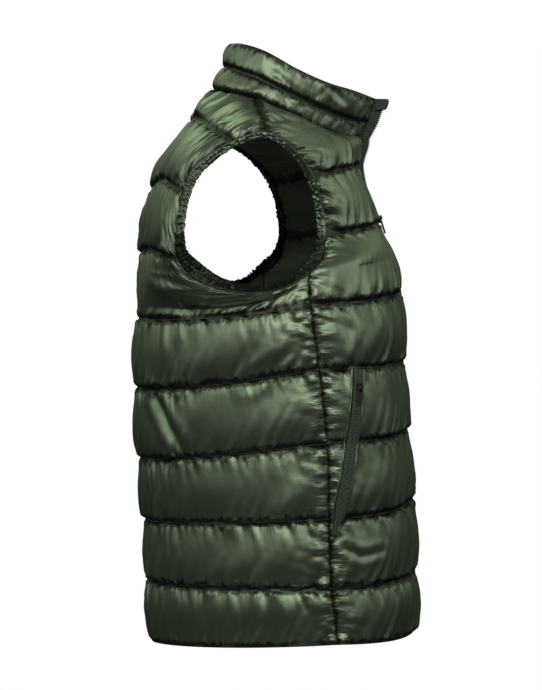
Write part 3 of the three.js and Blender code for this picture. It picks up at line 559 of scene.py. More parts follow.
# %% A sheet laid from a grid of places
def grid_index(verts, rows, columns):
    """Row and column of each vertex of a new grid of unit size."""
    return {vert: (round((vert.co.y + 0.5) * (rows - 1)), round((vert.co.x + 0.5) * (columns - 1)))
            for vert in verts}


def lay_grid(bm, places, material=0):
    rows, columns = places.shape[:2]
    made = bmesh.ops.create_grid(bm, x_segments=columns - 1, y_segments=rows - 1, size=0.5)["verts"]
    where = grid_index(made, rows, columns)
    for vert, (row, column) in where.items():
        vert.co = places[row, column] * MM
    for face in {face for vert in made for face in vert.link_faces}:
        face.material_index = material
        face.smooth = True
    return where


def new_cloth():
    """An empty mesh with a place for metres along and up the cloth, and for nearness to a seam."""
    bm = bmesh.new()
    bm.loops.layers.uv.new("cloth")
    bm.verts.layers.float.new("sewn")
    bm.verts.layers.float.new("seam")
    return bm


def write_cloth_uv(bm, where, along, up, near, seam):
    """Metres along and up the cloth for the materials, and 1 at a quilted line or a seam, where the
    satin paints shade into its creases; the armhole binding carries painted shade low down instead.
    """
    layer, sewn = bm.loops.layers.uv["cloth"], bm.verts.layers.float["sewn"]
    joined = bm.verts.layers.float["seam"]
    for vert, spot in where.items():
        vert[sewn] = near[spot]
        vert[joined] = seam[spot]
        for loop in vert.link_loops:
            loop[layer].uv = (along[spot] * MM, up[spot] * MM)


def new_object(name, bm, materials):
    mesh = bpy.data.meshes.new(name)
    bm.to_mesh(mesh)
    bm.free()
    for made in materials:
        mesh.materials.append(made)
    made = bpy.data.objects.new(name, mesh)
    bpy.context.scene.collection.objects.link(made)
    return made


def quilted_pad(name, outer, inner, laid):
    bm = new_cloth()
    where = lay_grid(bm, outer, 0)
    rim = [edge for edge in bm.edges if edge.is_boundary]
    lined = lay_grid(bm, inner, 1)
    inner_rim = [edge for edge in bm.edges if edge.is_boundary and edge not in set(rim)]
    bmesh.ops.bridge_loops(bm, edges=rim + inner_rim)
    bmesh.ops.recalc_face_normals(bm, faces=bm.faces)
    for face in bm.faces:
        face.smooth = True
    # near and the edge term below set where the satin draws pleats and paints shade beside the stitched lines
    # and the edges.
    near = np.exp(-np.minimum(laid["lower"], laid["upper"]) / 11)
    write_cloth_uv(bm, {**where, **lined}, laid["along"], laid["up"], near, 0.64 * np.exp(-laid["edge"] / 12))
    return new_object(name, bm, [shell_nylon, lining_nylon])


# %% [markdown]
# ## Fill and puckers
# Quilted cloth is cut larger than the form it covers. Where it is sewn down it has to gather,
# and between the lines the fill pushes it out. The cloth simulation does the same: the sewn
# lines are pinned, the cloth beside them is given slack, and a light pressure stands for fill.

# %% Folds and puckers
def billow(values):
    """Rounded ridges with sharp valleys between them, as of cloth drawn together."""
    return np.minimum(np.abs(values) * 2.2, 1) - 0.45


def nearest_seam(laid):
    nearest = np.minimum(np.minimum(laid["lower"], laid["upper"]), laid["edge"])
    return np.minimum(nearest, laid["along"]) if laid["open"] else nearest


def large_folds(laid, seed):
    """Slack that runs slantwise over a puff, in millimetres."""
    away = bell(nearest_seam(laid), 9)
    slanted = folds(laid["along"], laid["up"], 48, 100, seed, lean=0.5, depth=2)
    patches = folds(laid["along"], laid["up"], 75, 50, seed + 9)
    return away * laid["gather"] * (1.5 * slanted + 1.6 * patches)


def creases(laid, drawn):
    """Single folds: each follows a line of shares and rows, fades at both ends and has a roll of
    cloth on either side. A negative depth gives a ridge."""
    total = np.zeros(laid["along"].shape)
    for line, depth, width in drawn:
        part = np.linspace(0, 1, 28)
        shares, rows = (np.interp(part, np.linspace(0, 1, len(line)), [spot[k] for spot in line])
                        for k in (0, 1))
        places = read_spots(laid, laid["grid"], shares, rows)
        off = np.linalg.norm(laid["grid"][:, :, None, :] - places, axis=3)
        fade = np.sin(np.pi * np.linspace(0.05, 0.95, len(part))) ** 0.6
        total -= depth * np.max(fade * np.exp(-(off / width) ** 2), axis=2)
        total += 0.45 * depth * np.max(fade * np.exp(-((off - 2 * width) / width) ** 2), axis=2)
    return total * bell(laid["lower"], 3) * bell(laid["upper"], 3) * bell(laid["edge"], 3)


def puckers(laid, seed):
    """Pleats drawn out of the seams, in millimetres: close by the stitching, gone further off."""
    along, up = laid["along"], laid["up"]
    reach = 1 + 0.8 * folds(along, up, 34, 400, seed + 20)
    total = np.zeros(along.shape)
    for key, lean, fall in (("lower", 0.55, 20), ("upper", -0.3, 15)):
        distance = laid[key] / np.maximum(reach, 0.35)
        fine = billow(folds(along, up, 7.0, 70, seed + 2, lean))
        broad = billow(folds(along, up, 17, 110, seed + 4, lean))
        total += 3.6 * fine * np.exp(-distance / 9) + 4.6 * broad * np.exp(-distance / fall)
    beside = laid["edge"] / np.maximum(1 + 0.8 * folds(up, along, 40, 400, seed + 22), 0.35)
    fine = billow(folds(up, along, 7.5, 70, seed + 6, 0.3))
    broad = billow(folds(up, along, 19, 90, seed + 8, -0.4))
    total += 3.8 * fine * np.exp(-beside / 9) + 4.4 * broad * np.exp(-beside / 14)
    for key in ("lower", "upper", "edge"):
        total = total * bell(laid[key], 2.0)
    return np.clip(total * laid["gather"], -3.5, 4.5)


# %% The simulation
def inflate(name, laid, places, pinned, slack_share, slack=0.09, pressure=2.6, frames=22, cap=8.0):
    """Runs the cloth simulation on a grid of places in millimetres and gives the places it takes."""
    bm = bmesh.new()
    where = lay_grid(bm, places)
    spots = [where[vert] for vert in bm.verts]
    along, up = np.gradient(places, axis=1), np.gradient(places, axis=0)
    faces_out = np.sum(np.cross(along, up) * laid["out"]) > 0
    cloth = new_object(name, bm, [])
    held = cloth.vertex_groups.new(name="held")
    loose = cloth.vertex_groups.new(name="loose")
    for index, spot in enumerate(spots):
        held.add([index], float(pinned[spot]), "REPLACE")
        loose.add([index], float(slack_share[spot]), "REPLACE")
    fill = cloth.modifiers.new("fill", "CLOTH")
    fill.settings.quality = 5
    fill.settings.mass = 0.12
    fill.settings.tension_stiffness = 18
    fill.settings.compression_stiffness = 18
    fill.settings.shear_stiffness = 6
    fill.settings.bending_stiffness = 0.03
    fill.settings.air_damping = 4
    fill.settings.vertex_group_mass = "held"
    fill.settings.vertex_group_shrink = "loose"
    fill.settings.shrink_min = 0.0
    fill.settings.shrink_max = -slack
    fill.settings.use_pressure = True
    fill.settings.uniform_pressure_force = pressure if faces_out else -pressure
    fill.settings.effector_weights.gravity = 0
    fill.collision_settings.use_collision = False
    fill.point_cache.frame_end = frames
    for step in range(1, frames + 1):
        bpy.context.scene.frame_set(step)
    shaped = cloth.evaluated_get(bpy.context.evaluated_depsgraph_get()).data
    flat = np.empty(len(shaped.vertices) * 3, np.float32)
    shaped.vertices.foreach_get("co", flat)
    moved = places.copy()
    for spot, place in zip(spots, flat.reshape(-1, 3) / MM):
        moved[spot] = place
    bpy.data.objects.remove(cloth, do_unlink=True)
    bpy.context.scene.frame_set(1)
    step = moved - places
    length = np.linalg.norm(step, axis=2, keepdims=True)
    print(name, "moved", np.round(np.percentile(length, [50, 90, 99]), 1), "mm")
    return places + step * np.minimum(1, cap / np.maximum(length, 1e-9))


# %% Reading a coarse grid at the points of a finer one
def carry_over(values, coarse, fine):
    tall = read_between(values, coarse["rows"], fine["rows"])
    wide = read_between(np.swapaxes(tall, 0, 1), coarse["shares"], fine["shares"])
    return np.swapaxes(wide, 0, 1)


def fill_out(laid, coarse, name, seed, drawn):
    """The shell of a panel: its stitched grid lifted by the fill, with folds and puckers."""
    start = coarse["grid"] + coarse["out"] * (
        0.75 * puff(coarse) + 0.6 * large_folds(coarse, seed) + 0.5 * puckers(coarse, seed))[..., None]
    rows = coarse["rows"]
    pinned = np.zeros(start.shape[:2])
    pinned[[k for k, row in enumerate(rows) if row in coarse["sewn_rows"]], :] = 1
    pinned[:, [0, -1]] = 1
    slack_share = 0.15 + 0.85 * np.exp(-nearest_seam(coarse) / 12)
    shaped = inflate(name, coarse, start, pinned, slack_share)
    lift = carry_over(shaped - coarse["grid"], coarse, laid)
    lift = lift + laid["out"] * (puckers(laid, seed) + creases(laid, drawn))[..., None]
    if laid["open"]:
        height = np.sum(lift * laid["out"], axis=2)
        lift = lift + laid["out"] * (held_by_zip(laid, height) - height)[..., None]
    return laid["grid"] + lift


def mirrored_grid(values, sign=(1, -1, 1)):
    """A grid of the wearer's left joined at the centre to its mirror image on the right."""
    flipped = values[:, :0:-1] * np.array(sign) if values.ndim == 3 else values[:, :0:-1]
    return np.concatenate([flipped, values], axis=1)


def lining_of(laid):
    """The lining bulges a little inwards between the same stitched lines."""
    slack = 4.5 + 2.6 * folds(laid["along"], laid["up"], 70, 13, 60.0, 0.0, 2)
    depth = WALL_MM + slack * bell(laid["lower"], 9) * bell(laid["upper"], 9) * bell(laid["edge"], 14)
    return laid["grid"] - laid["out"] * depth[..., None]


# %% [markdown]
# ## Back and fronts
# The back runs from side seam to side seam. Each front ends at the zip. They meet the back at
# the side and shoulder seams, 0.3 mm apart, where both are sewn flat.


# %% The back, both halves in one pad
def both_halves(laid):
    """The whole back as one layout, from the wearer's right side seam to the left one."""
    whole = dict(laid)
    for key in ("grid", "out"):
        whole[key] = mirrored_grid(laid[key])
    for key in ("lower", "upper", "edge"):
        whole[key] = mirrored_grid(laid[key])
    whole["along"] = np.concatenate([-laid["along"][:, :0:-1], laid["along"]], axis=1)
    whole["up"] = mirrored_grid(laid["up"])
    whole["shares"] = np.concatenate([-laid["shares"][:0:-1], laid["shares"]])
    return whole


def mirrored_side(laid):
    """A front's layout on the wearer's right side."""
    other = dict(laid)
    for key in ("grid", "out"):
        other[key] = laid[key] * np.array([1, -1, 1])
    return other


def make_panel(name, node, laid, coarse, seed, drawn):
    outer = fill_out(laid, coarse, name + "_cloth", seed, drawn)
    pad = quilted_pad(name, outer, lining_of(laid), laid)
    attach(pad, "vest")
    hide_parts(node)
    print(name, len(pad.data.polygons), "faces")
    return pad


BACK_CREASES = [
    ([(-0.2, 3.97), (-0.3, 3.73), (-0.36, 3.43), (-0.44, 3.07)], 6.0, 8),
    ([(-0.4, 7.0), (-0.52, 6.5), (-0.62, 6.1), (-0.8, 6.25), (-0.91, 6.1)], -4.5, 9),
    ([(-0.94, 4.4), (-0.8, 4.1), (-0.72, 3.9)], 3.5, 7),
    ([(0.16, 2.9), (0.27, 2.6), (0.35, 2.15)], 5.0, 8),
    ([(0.45, 6.9), (0.6, 6.3), (0.85, 6.2)], -4.0, 8),
    ([(0.9, 1.9), (0.78, 1.5), (0.7, 1.2)], 4.0, 7)]
FRONT_CREASES = {
    -1: [([(0.97, 12.8), (0.72, 12.5), (0.48, 12.0), (0.44, 11.6), (0.5, 11.0), (0.66, 10.2)], 5.5, 7),
         ([(0.95, 1.62), (0.84, 1.45), (0.68, 1.5)], 3.0, 5),
         ([(0.84, 4.85), (0.82, 4.3)], 3.5, 6)],
    1: [([(0.95, 12.6), (0.68, 12.4), (0.46, 11.9), (0.42, 11.4), (0.52, 10.7)], 5.0, 8),
        ([(0.88, 2.9), (0.75, 2.5), (0.66, 2.2)], 4.0, 7),
        ([(0.6, 0.9), (0.72, 0.5)], 4.0, 6)]}
make_panel("back_quilted", "back_panel", both_halves(laid_back), both_halves(coarse_back), 0.0,
           BACK_CREASES)
make_panel("front_right_quilted", "front_right", mirrored_side(laid_front), mirrored_side(coarse_front),
           11.0, FRONT_CREASES[-1])
make_panel("front_left_quilted", "front_left", laid_front, coarse_front, 23.0, FRONT_CREASES[1])

# %% [markdown]
# ## Stand collar
# The collar is one band, padded in two channels and sewn to the neckline. Its two ends are
# closed by the top of the zip.


# %% The collar
COLLAR_PUFF = 7.5
COLLAR_CREASES = [([(-2.6, 0.9), (-2.9, 0.4)], 3.0, 5), ([(-4.0, 1.95), (-4.6, 1.5)], 3.0, 5),
                  ([(-3.0, 1.15), (-2.2, 1.45)], 2.5, 5), ([(2.9, 0.9), (3.3, 0.35)], 3.0, 5),
                  ([(4.2, 1.9), (4.9, 1.4)], 3.0, 5)]
collar_lines = [smooth_line(ring) for ring in COLLAR_RINGS]


def collar_point(stations, height):
    low = min(int(height), 1)
    lower, upper = collar_lines[low](stations), collar_lines[low + 1](stations)
    return lower + (upper - lower) * (height - low)


def lay_out_collar(step):
    fine = np.linspace(0, 6, 300)
    line = collar_point(fine, 1)
    run = np.concatenate([[0], np.cumsum(np.linalg.norm(np.diff(line, axis=0), axis=1))])
    stations = np.interp(np.linspace(0, run[-1], round(run[-1] / step) + 1), run, fine)
    per_channel = round(32 / step)
    heights = np.arange(2 * per_channel + 1) / per_channel
    grid = np.stack([collar_point(stations, height) for height in heights])
    grid[0, :, 2] += 0.3
    out = -unit(np.cross(np.gradient(grid, axis=1), np.gradient(grid, axis=0)))
    out[:, 0, 1] = 0
    sewn = [collar_point(stations, height) for height in (0, 1, 2)]
    lower = np.stack([sewn[min(int(height), 1)] for height in heights])
    upper = np.stack([sewn[min(int(height), 1) + 1] for height in heights])
    run = np.linalg.norm(np.diff(grid, axis=1), axis=2)
    along = np.concatenate([np.zeros((len(heights), 1)), np.cumsum(run, axis=1)], axis=1)
    climb = np.linalg.norm(np.diff(grid, axis=0), axis=2)
    up = np.concatenate([np.zeros((1, len(stations))), np.cumsum(climb, axis=0)], axis=0)
    return {"grid": grid, "rows": heights, "shares": stations, "out": unit(out),
            "lower": np.linalg.norm(grid - lower, axis=2), "upper": np.linalg.norm(grid - upper, axis=2),
            "edge": along[:, -1:] - along, "along": along, "up": up, "open": False,
            "height": COLLAR_PUFF, "gather": 0.36, "seed": 47.0, "centre_rise": None,
            "sag": PUFF["sag"], "sewn_rows": [0, 1, 2]}


make_panel("collar_quilted", "collar", both_halves(lay_out_collar(2.4)),
           both_halves(lay_out_collar(3.6)), 37.0, COLLAR_CREASES)

# %% [markdown]
# ## Strips
# Binding, tape, cord and stitches all follow a line on the vest. One helper lays a strip as a
# grid along such a line, and another copies a small shape to many places on it.


# %% Strips of cloth and repeated small shapes
def strip(name, places, materials, thickness=None, closed=False, round_profile=False, near=None):
    """A strip or tube from rows of places: one row for each point across it."""
    bm = new_cloth()
    where = lay_grid(bm, places)
    run = np.linalg.norm(np.diff(places, axis=1), axis=2).mean(axis=0)
    wide = np.linalg.norm(np.diff(places, axis=0), axis=2).mean(axis=1)
    along = np.tile(np.concatenate([[0], np.cumsum(run)]), (len(places), 1))
    up = np.tile(np.concatenate([[0], np.cumsum(wide)])[:, None], (1, places.shape[1]))
    plain = np.zeros(along.shape)
    # near, when given, goes in as the sewn value, from which the satin makes pleats and paints shade.
    write_cloth_uv(bm, where, along, up, plain if near is None else near, plain)
    if closed or round_profile:
        bmesh.ops.remove_doubles(bm, verts=bm.verts, dist=1e-6)
    if round_profile and not closed:
        bmesh.ops.holes_fill(bm, edges=[edge for edge in bm.edges if edge.is_boundary], sides=0)
    bmesh.ops.recalc_face_normals(bm, faces=bm.faces)
    if thickness:
        bmesh.ops.solidify(bm, geom=bm.faces[:], thickness=thickness * MM)
        bmesh.ops.recalc_face_normals(bm, faces=bm.faces)
    for face in bm.faces:
        face.smooth = True
    return new_object(name, bm, materials)


def tube(name, line, sides, radius, materials, ring=10):
    """A round cord: line is its middle, sides two directions across it."""
    turns = np.linspace(0, 2 * np.pi, ring + 1)
    return strip(name, np.stack([line + radius * (math.cos(turn) * sides[0] + math.sin(turn) * sides[1])
                                 for turn in turns]), materials, round_profile=True)


def repeat_shape(name, bm, origins, axes, materials):
    """Copies the small shape in bm to every origin, turned to its axes. Places in millimetres.
    The trip through a mesh puts its corners in order, as a bevel leaves gaps in their list."""
    bmesh.ops.recalc_face_normals(bm, faces=bm.faces)
    unit_mesh = bpy.data.meshes.new(name + "_unit")
    bm.to_mesh(unit_mesh)
    bm.free()
    bm = bmesh.new()
    bm.from_mesh(unit_mesh)
    bpy.data.meshes.remove(unit_mesh)
    size, faces, wanted = len(bm.verts), len(bm.faces), len(origins)
    bm.verts.ensure_lookup_table()
    template = np.array([vert.co for vert in bm.verts])
    made = 1
    while made < wanted:
        more = min(made, wanted - made)
        bm.verts.ensure_lookup_table()
        bm.faces.ensure_lookup_table()
        bmesh.ops.duplicate(bm, geom=bm.verts[:more * size] + bm.faces[:more * faces])
        made += more
    places = origins[:, None, :] + np.einsum("vk,nkc->nvc", template, axes)
    for vert, place in zip(bm.verts, places.reshape(-1, 3) * MM):
        vert.co = place
    return new_object(name, bm, materials)


def ride_along(piece, slot, *nodes):
    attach(piece, "vest")
    if nodes:
        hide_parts(*nodes)
    print(piece.name, len(piece.data.polygons), "faces")
    return piece


# %% [markdown]
# ## Armhole bindings
# A strip of the shell cloth, doubled over elastic, is sewn round each armhole. The elastic draws
# it up, so it lies in fine irregular gathers, and its free edge turns in towards the lining.

# %% Gathered bindings
BINDING = {"thick": 1.4, "gap": 0.6, "set": 0.5, "gather": 2.0, "columns": 560, "rows": 18}
DRAWN_IN = {0: 0.8, 4: 0.9, 8: 0.9, 10: 0.62, 12: 0.5, 15: 0.5, 16: 0.65, 17: 0.8}


def table_value(column, stations):
    values = [row[column] for row in ARMHOLE] + [ARMHOLE[0][column]]
    return np.array([smooth_value(values, station) for station in stations])


def rim_facings(stations):
    """Outward directions of the panels' edge at stations of the armhole."""
    known = []
    for panel, laid in ((BACK, laid_back), (FRONT, laid_front)):
        for k, row in enumerate(laid["rows"]):
            station = hole_station(panel, row)
            if station is not None:
                known.append((station % len(ARMHOLE), *laid["out"][k, -1]))
    known = np.array(sorted(known))
    count = len(ARMHOLE)
    around = np.vstack([known[-1:] - (count, 0, 0, 0), known, known[:1] + (count, 0, 0, 0)])
    return unit(np.stack([np.interp(stations, around[:, 0], around[:, k]) for k in (1, 2, 3)], axis=1))


def dot(a, b):
    return np.sum(a * b, axis=-1, keepdims=True)


def binding_frame(stations):
    edge, out = hole_at(stations), rim_facings(stations)
    along = unit(hole_at(stations + 0.2) - hole_at(stations - 0.2))
    upright = (stations < UPRIGHT_ARC[1]) | (stations > UPRIGHT_ARC[0])
    level = unit(np.stack([-along[:, 1], along[:, 0], 0 * along[:, 0]], axis=1)) * np.sign(along[:, :1])
    out = np.where(upright[:, None], level, out)
    spread = np.hanning(61) / np.hanning(61).sum()
    out = np.stack([np.convolve(np.concatenate([out[-31:-1, k], out[:, k], out[1:31, k]]), spread, "valid")
                    for k in range(3)], axis=1)
    out = unit(out - along * dot(out, along))
    into = unit(np.cross(out, along))
    middle = np.stack([HOLE_MIDDLE[0] - edge[:, 0], 0 * edge[:, 0], HOLE_MIDDLE[1] - edge[:, 2]], axis=1)
    into = into * np.where(dot(into, middle) < 0, -1, 1)
    lean = np.radians(table_value(4, stations))[:, None]
    reach = into * np.cos(lean) - out * np.sin(lean)
    facing = into * np.sin(lean) + out * np.cos(lean)
    start = edge + into * BINDING["gap"] - out * (BINDING["thick"] + BINDING["set"]) * np.cos(lean)
    return start, reach, facing, along


def armhole_binding(side_name, side, seed):
    count = len(ARMHOLE)
    stations = np.linspace(0, count, BINDING["columns"] + 1) % count
    stations[-1] = 0
    start, reach, facing, _ = binding_frame(stations)
    drawn_in = np.interp(stations, list(DRAWN_IN), list(DRAWN_IN.values()))
    width = (table_value(3, stations) * drawn_in)[:, None]
    edge, out = hole_at(stations), rim_facings(stations)
    run = np.concatenate([[0], np.cumsum(np.linalg.norm(np.diff(edge, axis=0), axis=1))])
    turn = run / run[-1] * 2 * np.pi
    loop = run[-1] / (2 * np.pi)
    rows = [edge - out * 1.6 - reach * 1.6]
    for share in np.linspace(0, 1, BINDING["rows"]):
        cells, fine = (np.array([noise.noise(Vector((loop * math.cos(a) / pitch, loop * math.sin(a) / pitch,
                                                     share * tall + seed))) for a in turn])
                       for pitch, tall in ((4.6, 1.4), (2.4, 4.0)))
        stitched = 0.75 * math.exp(-((share - 0.5) / 0.09) ** 2)
        hemmed = 0.6 * math.exp(-((share - 0.97) / 0.06) ** 2)
        sewn = 1 - stitched - hemmed
        height = BINDING["gather"] * sewn * min(1, 3 * share) * (2.9 * np.abs(cells) + 0.8 * fine)
        rows.append(start + reach * width * share + facing * (BINDING["thick"] + height[:, None]))
    # Painted shade: the binding's colour is darkened towards the armhole's bottom, fully below z -180 mm,
    # where it lies in shade; the value goes in as the sewn value.
    shade = np.clip((-150 - edge[:, 2]) / 30, 0, 1)
    name = "armhole_binding_" + side_name
    binding = strip(name + "_gathered", np.stack(rows) * np.array([1, side, 1]), [binding_nylon_shaded],
                    BINDING["thick"], closed=True, near=np.tile(shade, (len(rows), 1)))
    ride_along(binding, "gathered_binding", name)
    return run[-1]


print("armhole edge", round(armhole_binding("right", -1, 3.0)), "mm")
armhole_binding("left", 1, 8.0)

# %% [markdown]
# ## Zips
# Tape is a firm narrow weave, darker than the shell. The front zip has bare teeth, as its open
# top shows. The pocket zips are the reversed kind: the coil is hidden under the tape, and only
# two ribbed bands meeting in a groove are seen, between rolled lips of the shell cloth.


# %% Woven tape, teeth and dark metal
def woven_tape(name, code, ribs=520.0):
    made, tree, shader = new_material(name, Roughness=0.85, Specular_IOR_Level=0.2)
    cloth = add_node(tree, "ShaderNodeUVMap", uv_map="cloth")
    rib = add_node(tree, "ShaderNodeTexWave", {"Vector": cloth.outputs["UV"], "Scale": ribs / 6.28,
                                               "Distortion": 0.6, "Detail": 1.0}, bands_direction="X")
    cross = add_node(tree, "ShaderNodeTexWave", {"Vector": cloth.outputs["UV"], "Scale": ribs / 6.28,
                                                 "Distortion": 1.2}, bands_direction="DIAGONAL")
    both = add_node(tree, "ShaderNodeMath", {0: rib.outputs["Fac"], 1: cross.outputs["Fac"]},
                    operation="ADD")
    relief = add_node(tree, "ShaderNodeBump",
                      {"Height": both.outputs[0], "Strength": 0.5, "Distance": 0.0004})
    tone = add_node(tree, "ShaderNodeTexNoise",
                    {"Vector": cloth.outputs["UV"], "Scale": 300.0, "Detail": 2.0})
    shades = add_node(tree, "ShaderNodeMix", {0: tone.outputs["Fac"], 6: linear(code), 7: linear("#3c4838")},
                      data_type="RGBA")
    tree.links.new(shades.outputs[2], shader.inputs["Base Color"])
    tree.links.new(relief.outputs["Normal"], shader.inputs["Normal"])
    return made


def speckled(name, code, other, size_mm, **values):
    """A hard finish with a faint mottle and a fine roughness of its own."""
    made, tree, shader = new_material(name, **values)
    spot = add_node(tree, "ShaderNodeTexCoord")
    grain = add_node(tree, "ShaderNodeTexNoise",
                     {"Vector": spot.outputs["Object"], "Scale": 1000.0 / size_mm, "Detail": 3.0})
    shades = add_node(tree, "ShaderNodeMix", {0: grain.outputs["Fac"], 6: linear(code), 7: linear(other)},
                      data_type="RGBA")
    relief = add_node(tree, "ShaderNodeBump",
                      {"Height": grain.outputs["Fac"], "Strength": 0.15, "Distance": 0.0002})
    tree.links.new(shades.outputs[2], shader.inputs["Base Color"])
    tree.links.new(relief.outputs["Normal"], shader.inputs["Normal"])
    return made


zip_tape = woven_tape("woven polyester zip tape, dark green", "#262f23")
zip_teeth = speckled("moulded acetal zip teeth, dark green", "#3c4538", "#2a3127", 1.5, Roughness=0.32)
slider_metal = speckled("enamelled zinc zip slider", "#2b302a", "#1f231e", 2.0, Roughness=0.3, Metallic=0.75)
bare_metal = speckled("burnished zinc eye", "#8d918b", "#6d716b", 2.0, Roughness=0.25, Metallic=0.9)
pull_rubber = speckled("moulded rubber zip pull", "#1a1e18", "#23281f", 1.2, Roughness=0.42)
tab_nylon = speckled("folded nylon grosgrain, dark olive", "#20281b", "#161c12", 1.0, Roughness=0.6)
thread = speckled("polyester sewing thread, dark olive", "#252d22", "#323b2d", 0.8, Roughness=0.7)

# %% The front zip's tapes
TAPE = {"thick": 1.2, "set": 0.5, "gap": 0.3}


def front_tape_frame():
    """Points of the front's edge, the tape's reach from it and the direction it faces."""
    rows = np.arange(0, 10, 0.05)
    heights = np.arange(0, 1.92, 0.05)
    points = np.vstack([FRONT["centre"](rows)[:, :3], collar_point([6], 0)[0][None],
                        *[collar_point([6], height) for height in heights[1:]]])
    low = np.minimum(rows.astype(int), len(TAPE_ROWS) - 2)
    part = (rows - low)[:, None]
    reach = np.array(TAPE_ROWS)[low] * (1 - part) + np.array(TAPE_ROWS)[low + 1] * part
    low = np.minimum(heights.astype(int), 1)
    part = (heights - low)[:, None]
    top = np.array(COLLAR_TAPE)[low] * (1 - part) + np.array(COLLAR_TAPE)[low + 1] * part
    reach = np.hstack([np.vstack([reach, top]), np.zeros((len(points), 1))])
    facing = unit(np.stack([-reach[:, 1], reach[:, 0], 0 * reach[:, 0]], axis=1))
    return points, reach, facing


def spaced_along(line, pitch):
    """Fractional indices of points a pitch apart along a line."""
    run = np.concatenate([[0], np.cumsum(np.linalg.norm(np.diff(line, axis=0), axis=1))])
    return np.interp(np.arange(pitch / 2, run[-1], pitch), run, np.arange(len(line))), run[-1]


def read_line(values, spots):
    low = np.minimum(spots.astype(int), len(values) - 2)
    part = (spots - low)[:, None]
    return values[low] * (1 - part) + values[low + 1] * part


def front_tape(side_name, side):
    points, reach, facing = front_tape_frame()
    edge = points - facing * (TAPE["set"] + 0.2)
    near = edge + unit(reach) * TAPE["gap"]
    places = np.stack([near + (edge + reach - near) * share for share in np.linspace(0, 1, 6)])
    flip = np.array([1, side, 1])
    tape = strip("front_tape_" + side_name, places * flip, [zip_tape], TAPE["thick"])
    ride_along(tape, "zip_tape", "front_zip_tape_" + side_name)
    far = edge + reach * (1 + 0.7 / np.linalg.norm(reach, axis=1, keepdims=True)) - facing * 0.6
    spots, _ = spaced_along(far, 2.6)
    origin = read_line(far, spots) + (0.65 if side > 0 else 0) * np.array([[0, 0, 1.0]])
    across = unit(read_line(reach, spots))
    down = unit(np.gradient(origin, axis=0))
    out = unit(np.cross(down, across))
    axes = np.stack([across, np.cross(out, across), out], axis=1) * flip
    bm = bmesh.new()
    bmesh.ops.create_cube(bm, size=1)
    bmesh.ops.scale(bm, vec=(3.0, 1.25, 2.6), verts=bm.verts)
    bmesh.ops.bevel(bm, geom=bm.edges[:], offset=0.35, segments=1, affect="EDGES", profile=0.5, material=-1)
    teeth = repeat_shape("front_teeth_" + side_name, bm, origin * flip, axes, [zip_teeth])
    ride_along(teeth, "zip_tape")


front_tape("right", -1)
front_tape("left", 1)

# %% [markdown]
# ## Pocket zips
# Each pocket opens on a slant, from near the zip side down to the side seam. The tape lies a
# little over the cloth, with the puffs drawn in on both sides of it.

# %% The line of a pocket's zip
def pocket_zip(side_name, side):
    line, out, bridged = zip_line(laid_front, 150)
    line = line + out * bridged[:, None]
    down = unit(np.gradient(line, axis=0))
    across = unit(np.cross(down, out))
    flip = np.array([1, side, 1])
    offsets = np.array([-1, -0.72, -0.5, -0.3, -0.12, -0.05, 0, 0.05, 0.12, 0.3, 0.5, 0.72, 1])
    groove = 2.2 - 1.1 * np.exp(-(offsets / 0.08) ** 2) - 0.5 * np.abs(offsets) ** 3
    ribs = 0.16 * np.sin(np.arange(len(line)) * 2 * np.pi / 3)[:, None]
    half = POCKET["width"] / 2
    taper = np.interp(np.linspace(0, 1, len(line)), (0, 0.8, 1), (1, 1, 0.25))[:, None]
    heights = [POCKET["lift"] + rise + ribs * (abs(offset) < 0.6) for offset, rise in zip(offsets, groove)]
    places = np.stack([line + across * half * offset * taper + out * height
                       for offset, height in zip(offsets, heights)])
    tape = strip("pocket_tape_" + side_name, places * flip, [zip_tape], 1.2)
    ride_along(tape, "zip_tape", "pocket_zip_tape_" + side_name)
    length = float(np.linalg.norm(np.diff(line, axis=0), axis=1).sum())
    for edge, label, radius, rise in ((-1, "back", 1.3, 0.5), (1, "front", 1.9, 2.0)):
        wobble = [noise.noise(Vector((k / 11, edge * 5.0, side))) for k in range(len(line))]
        wobble = np.array(wobble)[:, None]
        middle = line + across * edge * (half * taper + 1.2 + 0.8 * wobble) + out * (rise + 0.8 * wobble)
        lip = tube("pocket_lip_%s_%s" % (label, side_name), middle * flip, (across * flip, out * flip),
                   radius, [shell_nylon])
        ride_along(lip, "quilted_nylon")
    return length


print("pocket zip", round(pocket_zip("right", -1)), "mm")
pocket_zip("left", 1)

# %% [markdown]
# ## Sliders, pulls and the zip's garage
# The sliders are cast and enamelled, and their tabs moulded. They are the solids themselves,
# which already have the right form, so only their finish is made here.

# %% Finishes of the hard pieces
for name, finish in (("front_zip_slider", slider_metal), ("pocket_zip_slider_right", slider_metal),
                     ("pocket_zip_slider_left", slider_metal), ("front_zip_pull", pull_rubber),
                     ("pocket_zip_pull_right", pull_rubber), ("pocket_zip_pull_left", pull_rubber)):
    node = bpy.data.objects[name]
    node.data.materials.clear()
    node.data.materials.append(finish)

# %% Rings that hold the pulls
def pull_ring(joint):
    """A small ring of bare zinc round the hinge of a pull, turned a quarter from its axis."""
    spot, axis = np.array(joint["pos_m"]) / MM, unit(np.array([joint["axis"]]))[0]
    out = unit(spot[None] * np.array([1, 1, 0]))[0]
    out = unit((out - axis * out.dot(axis))[None])[0]
    turns = np.linspace(0, 2 * np.pi, 25)[:, None]
    wheel = np.cos(turns) * axis + np.sin(turns) * np.cross(out, axis)
    ring = tube(joint["child"] + "_ring", spot + out * 0.3 + wheel * 1.5, (wheel, np.tile(out, (25, 1))),
                0.6, [bare_metal])
    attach(ring, joint["child"])


for joint in frame["record"]["behaviour"]["joints"]:
    pull_ring(joint)

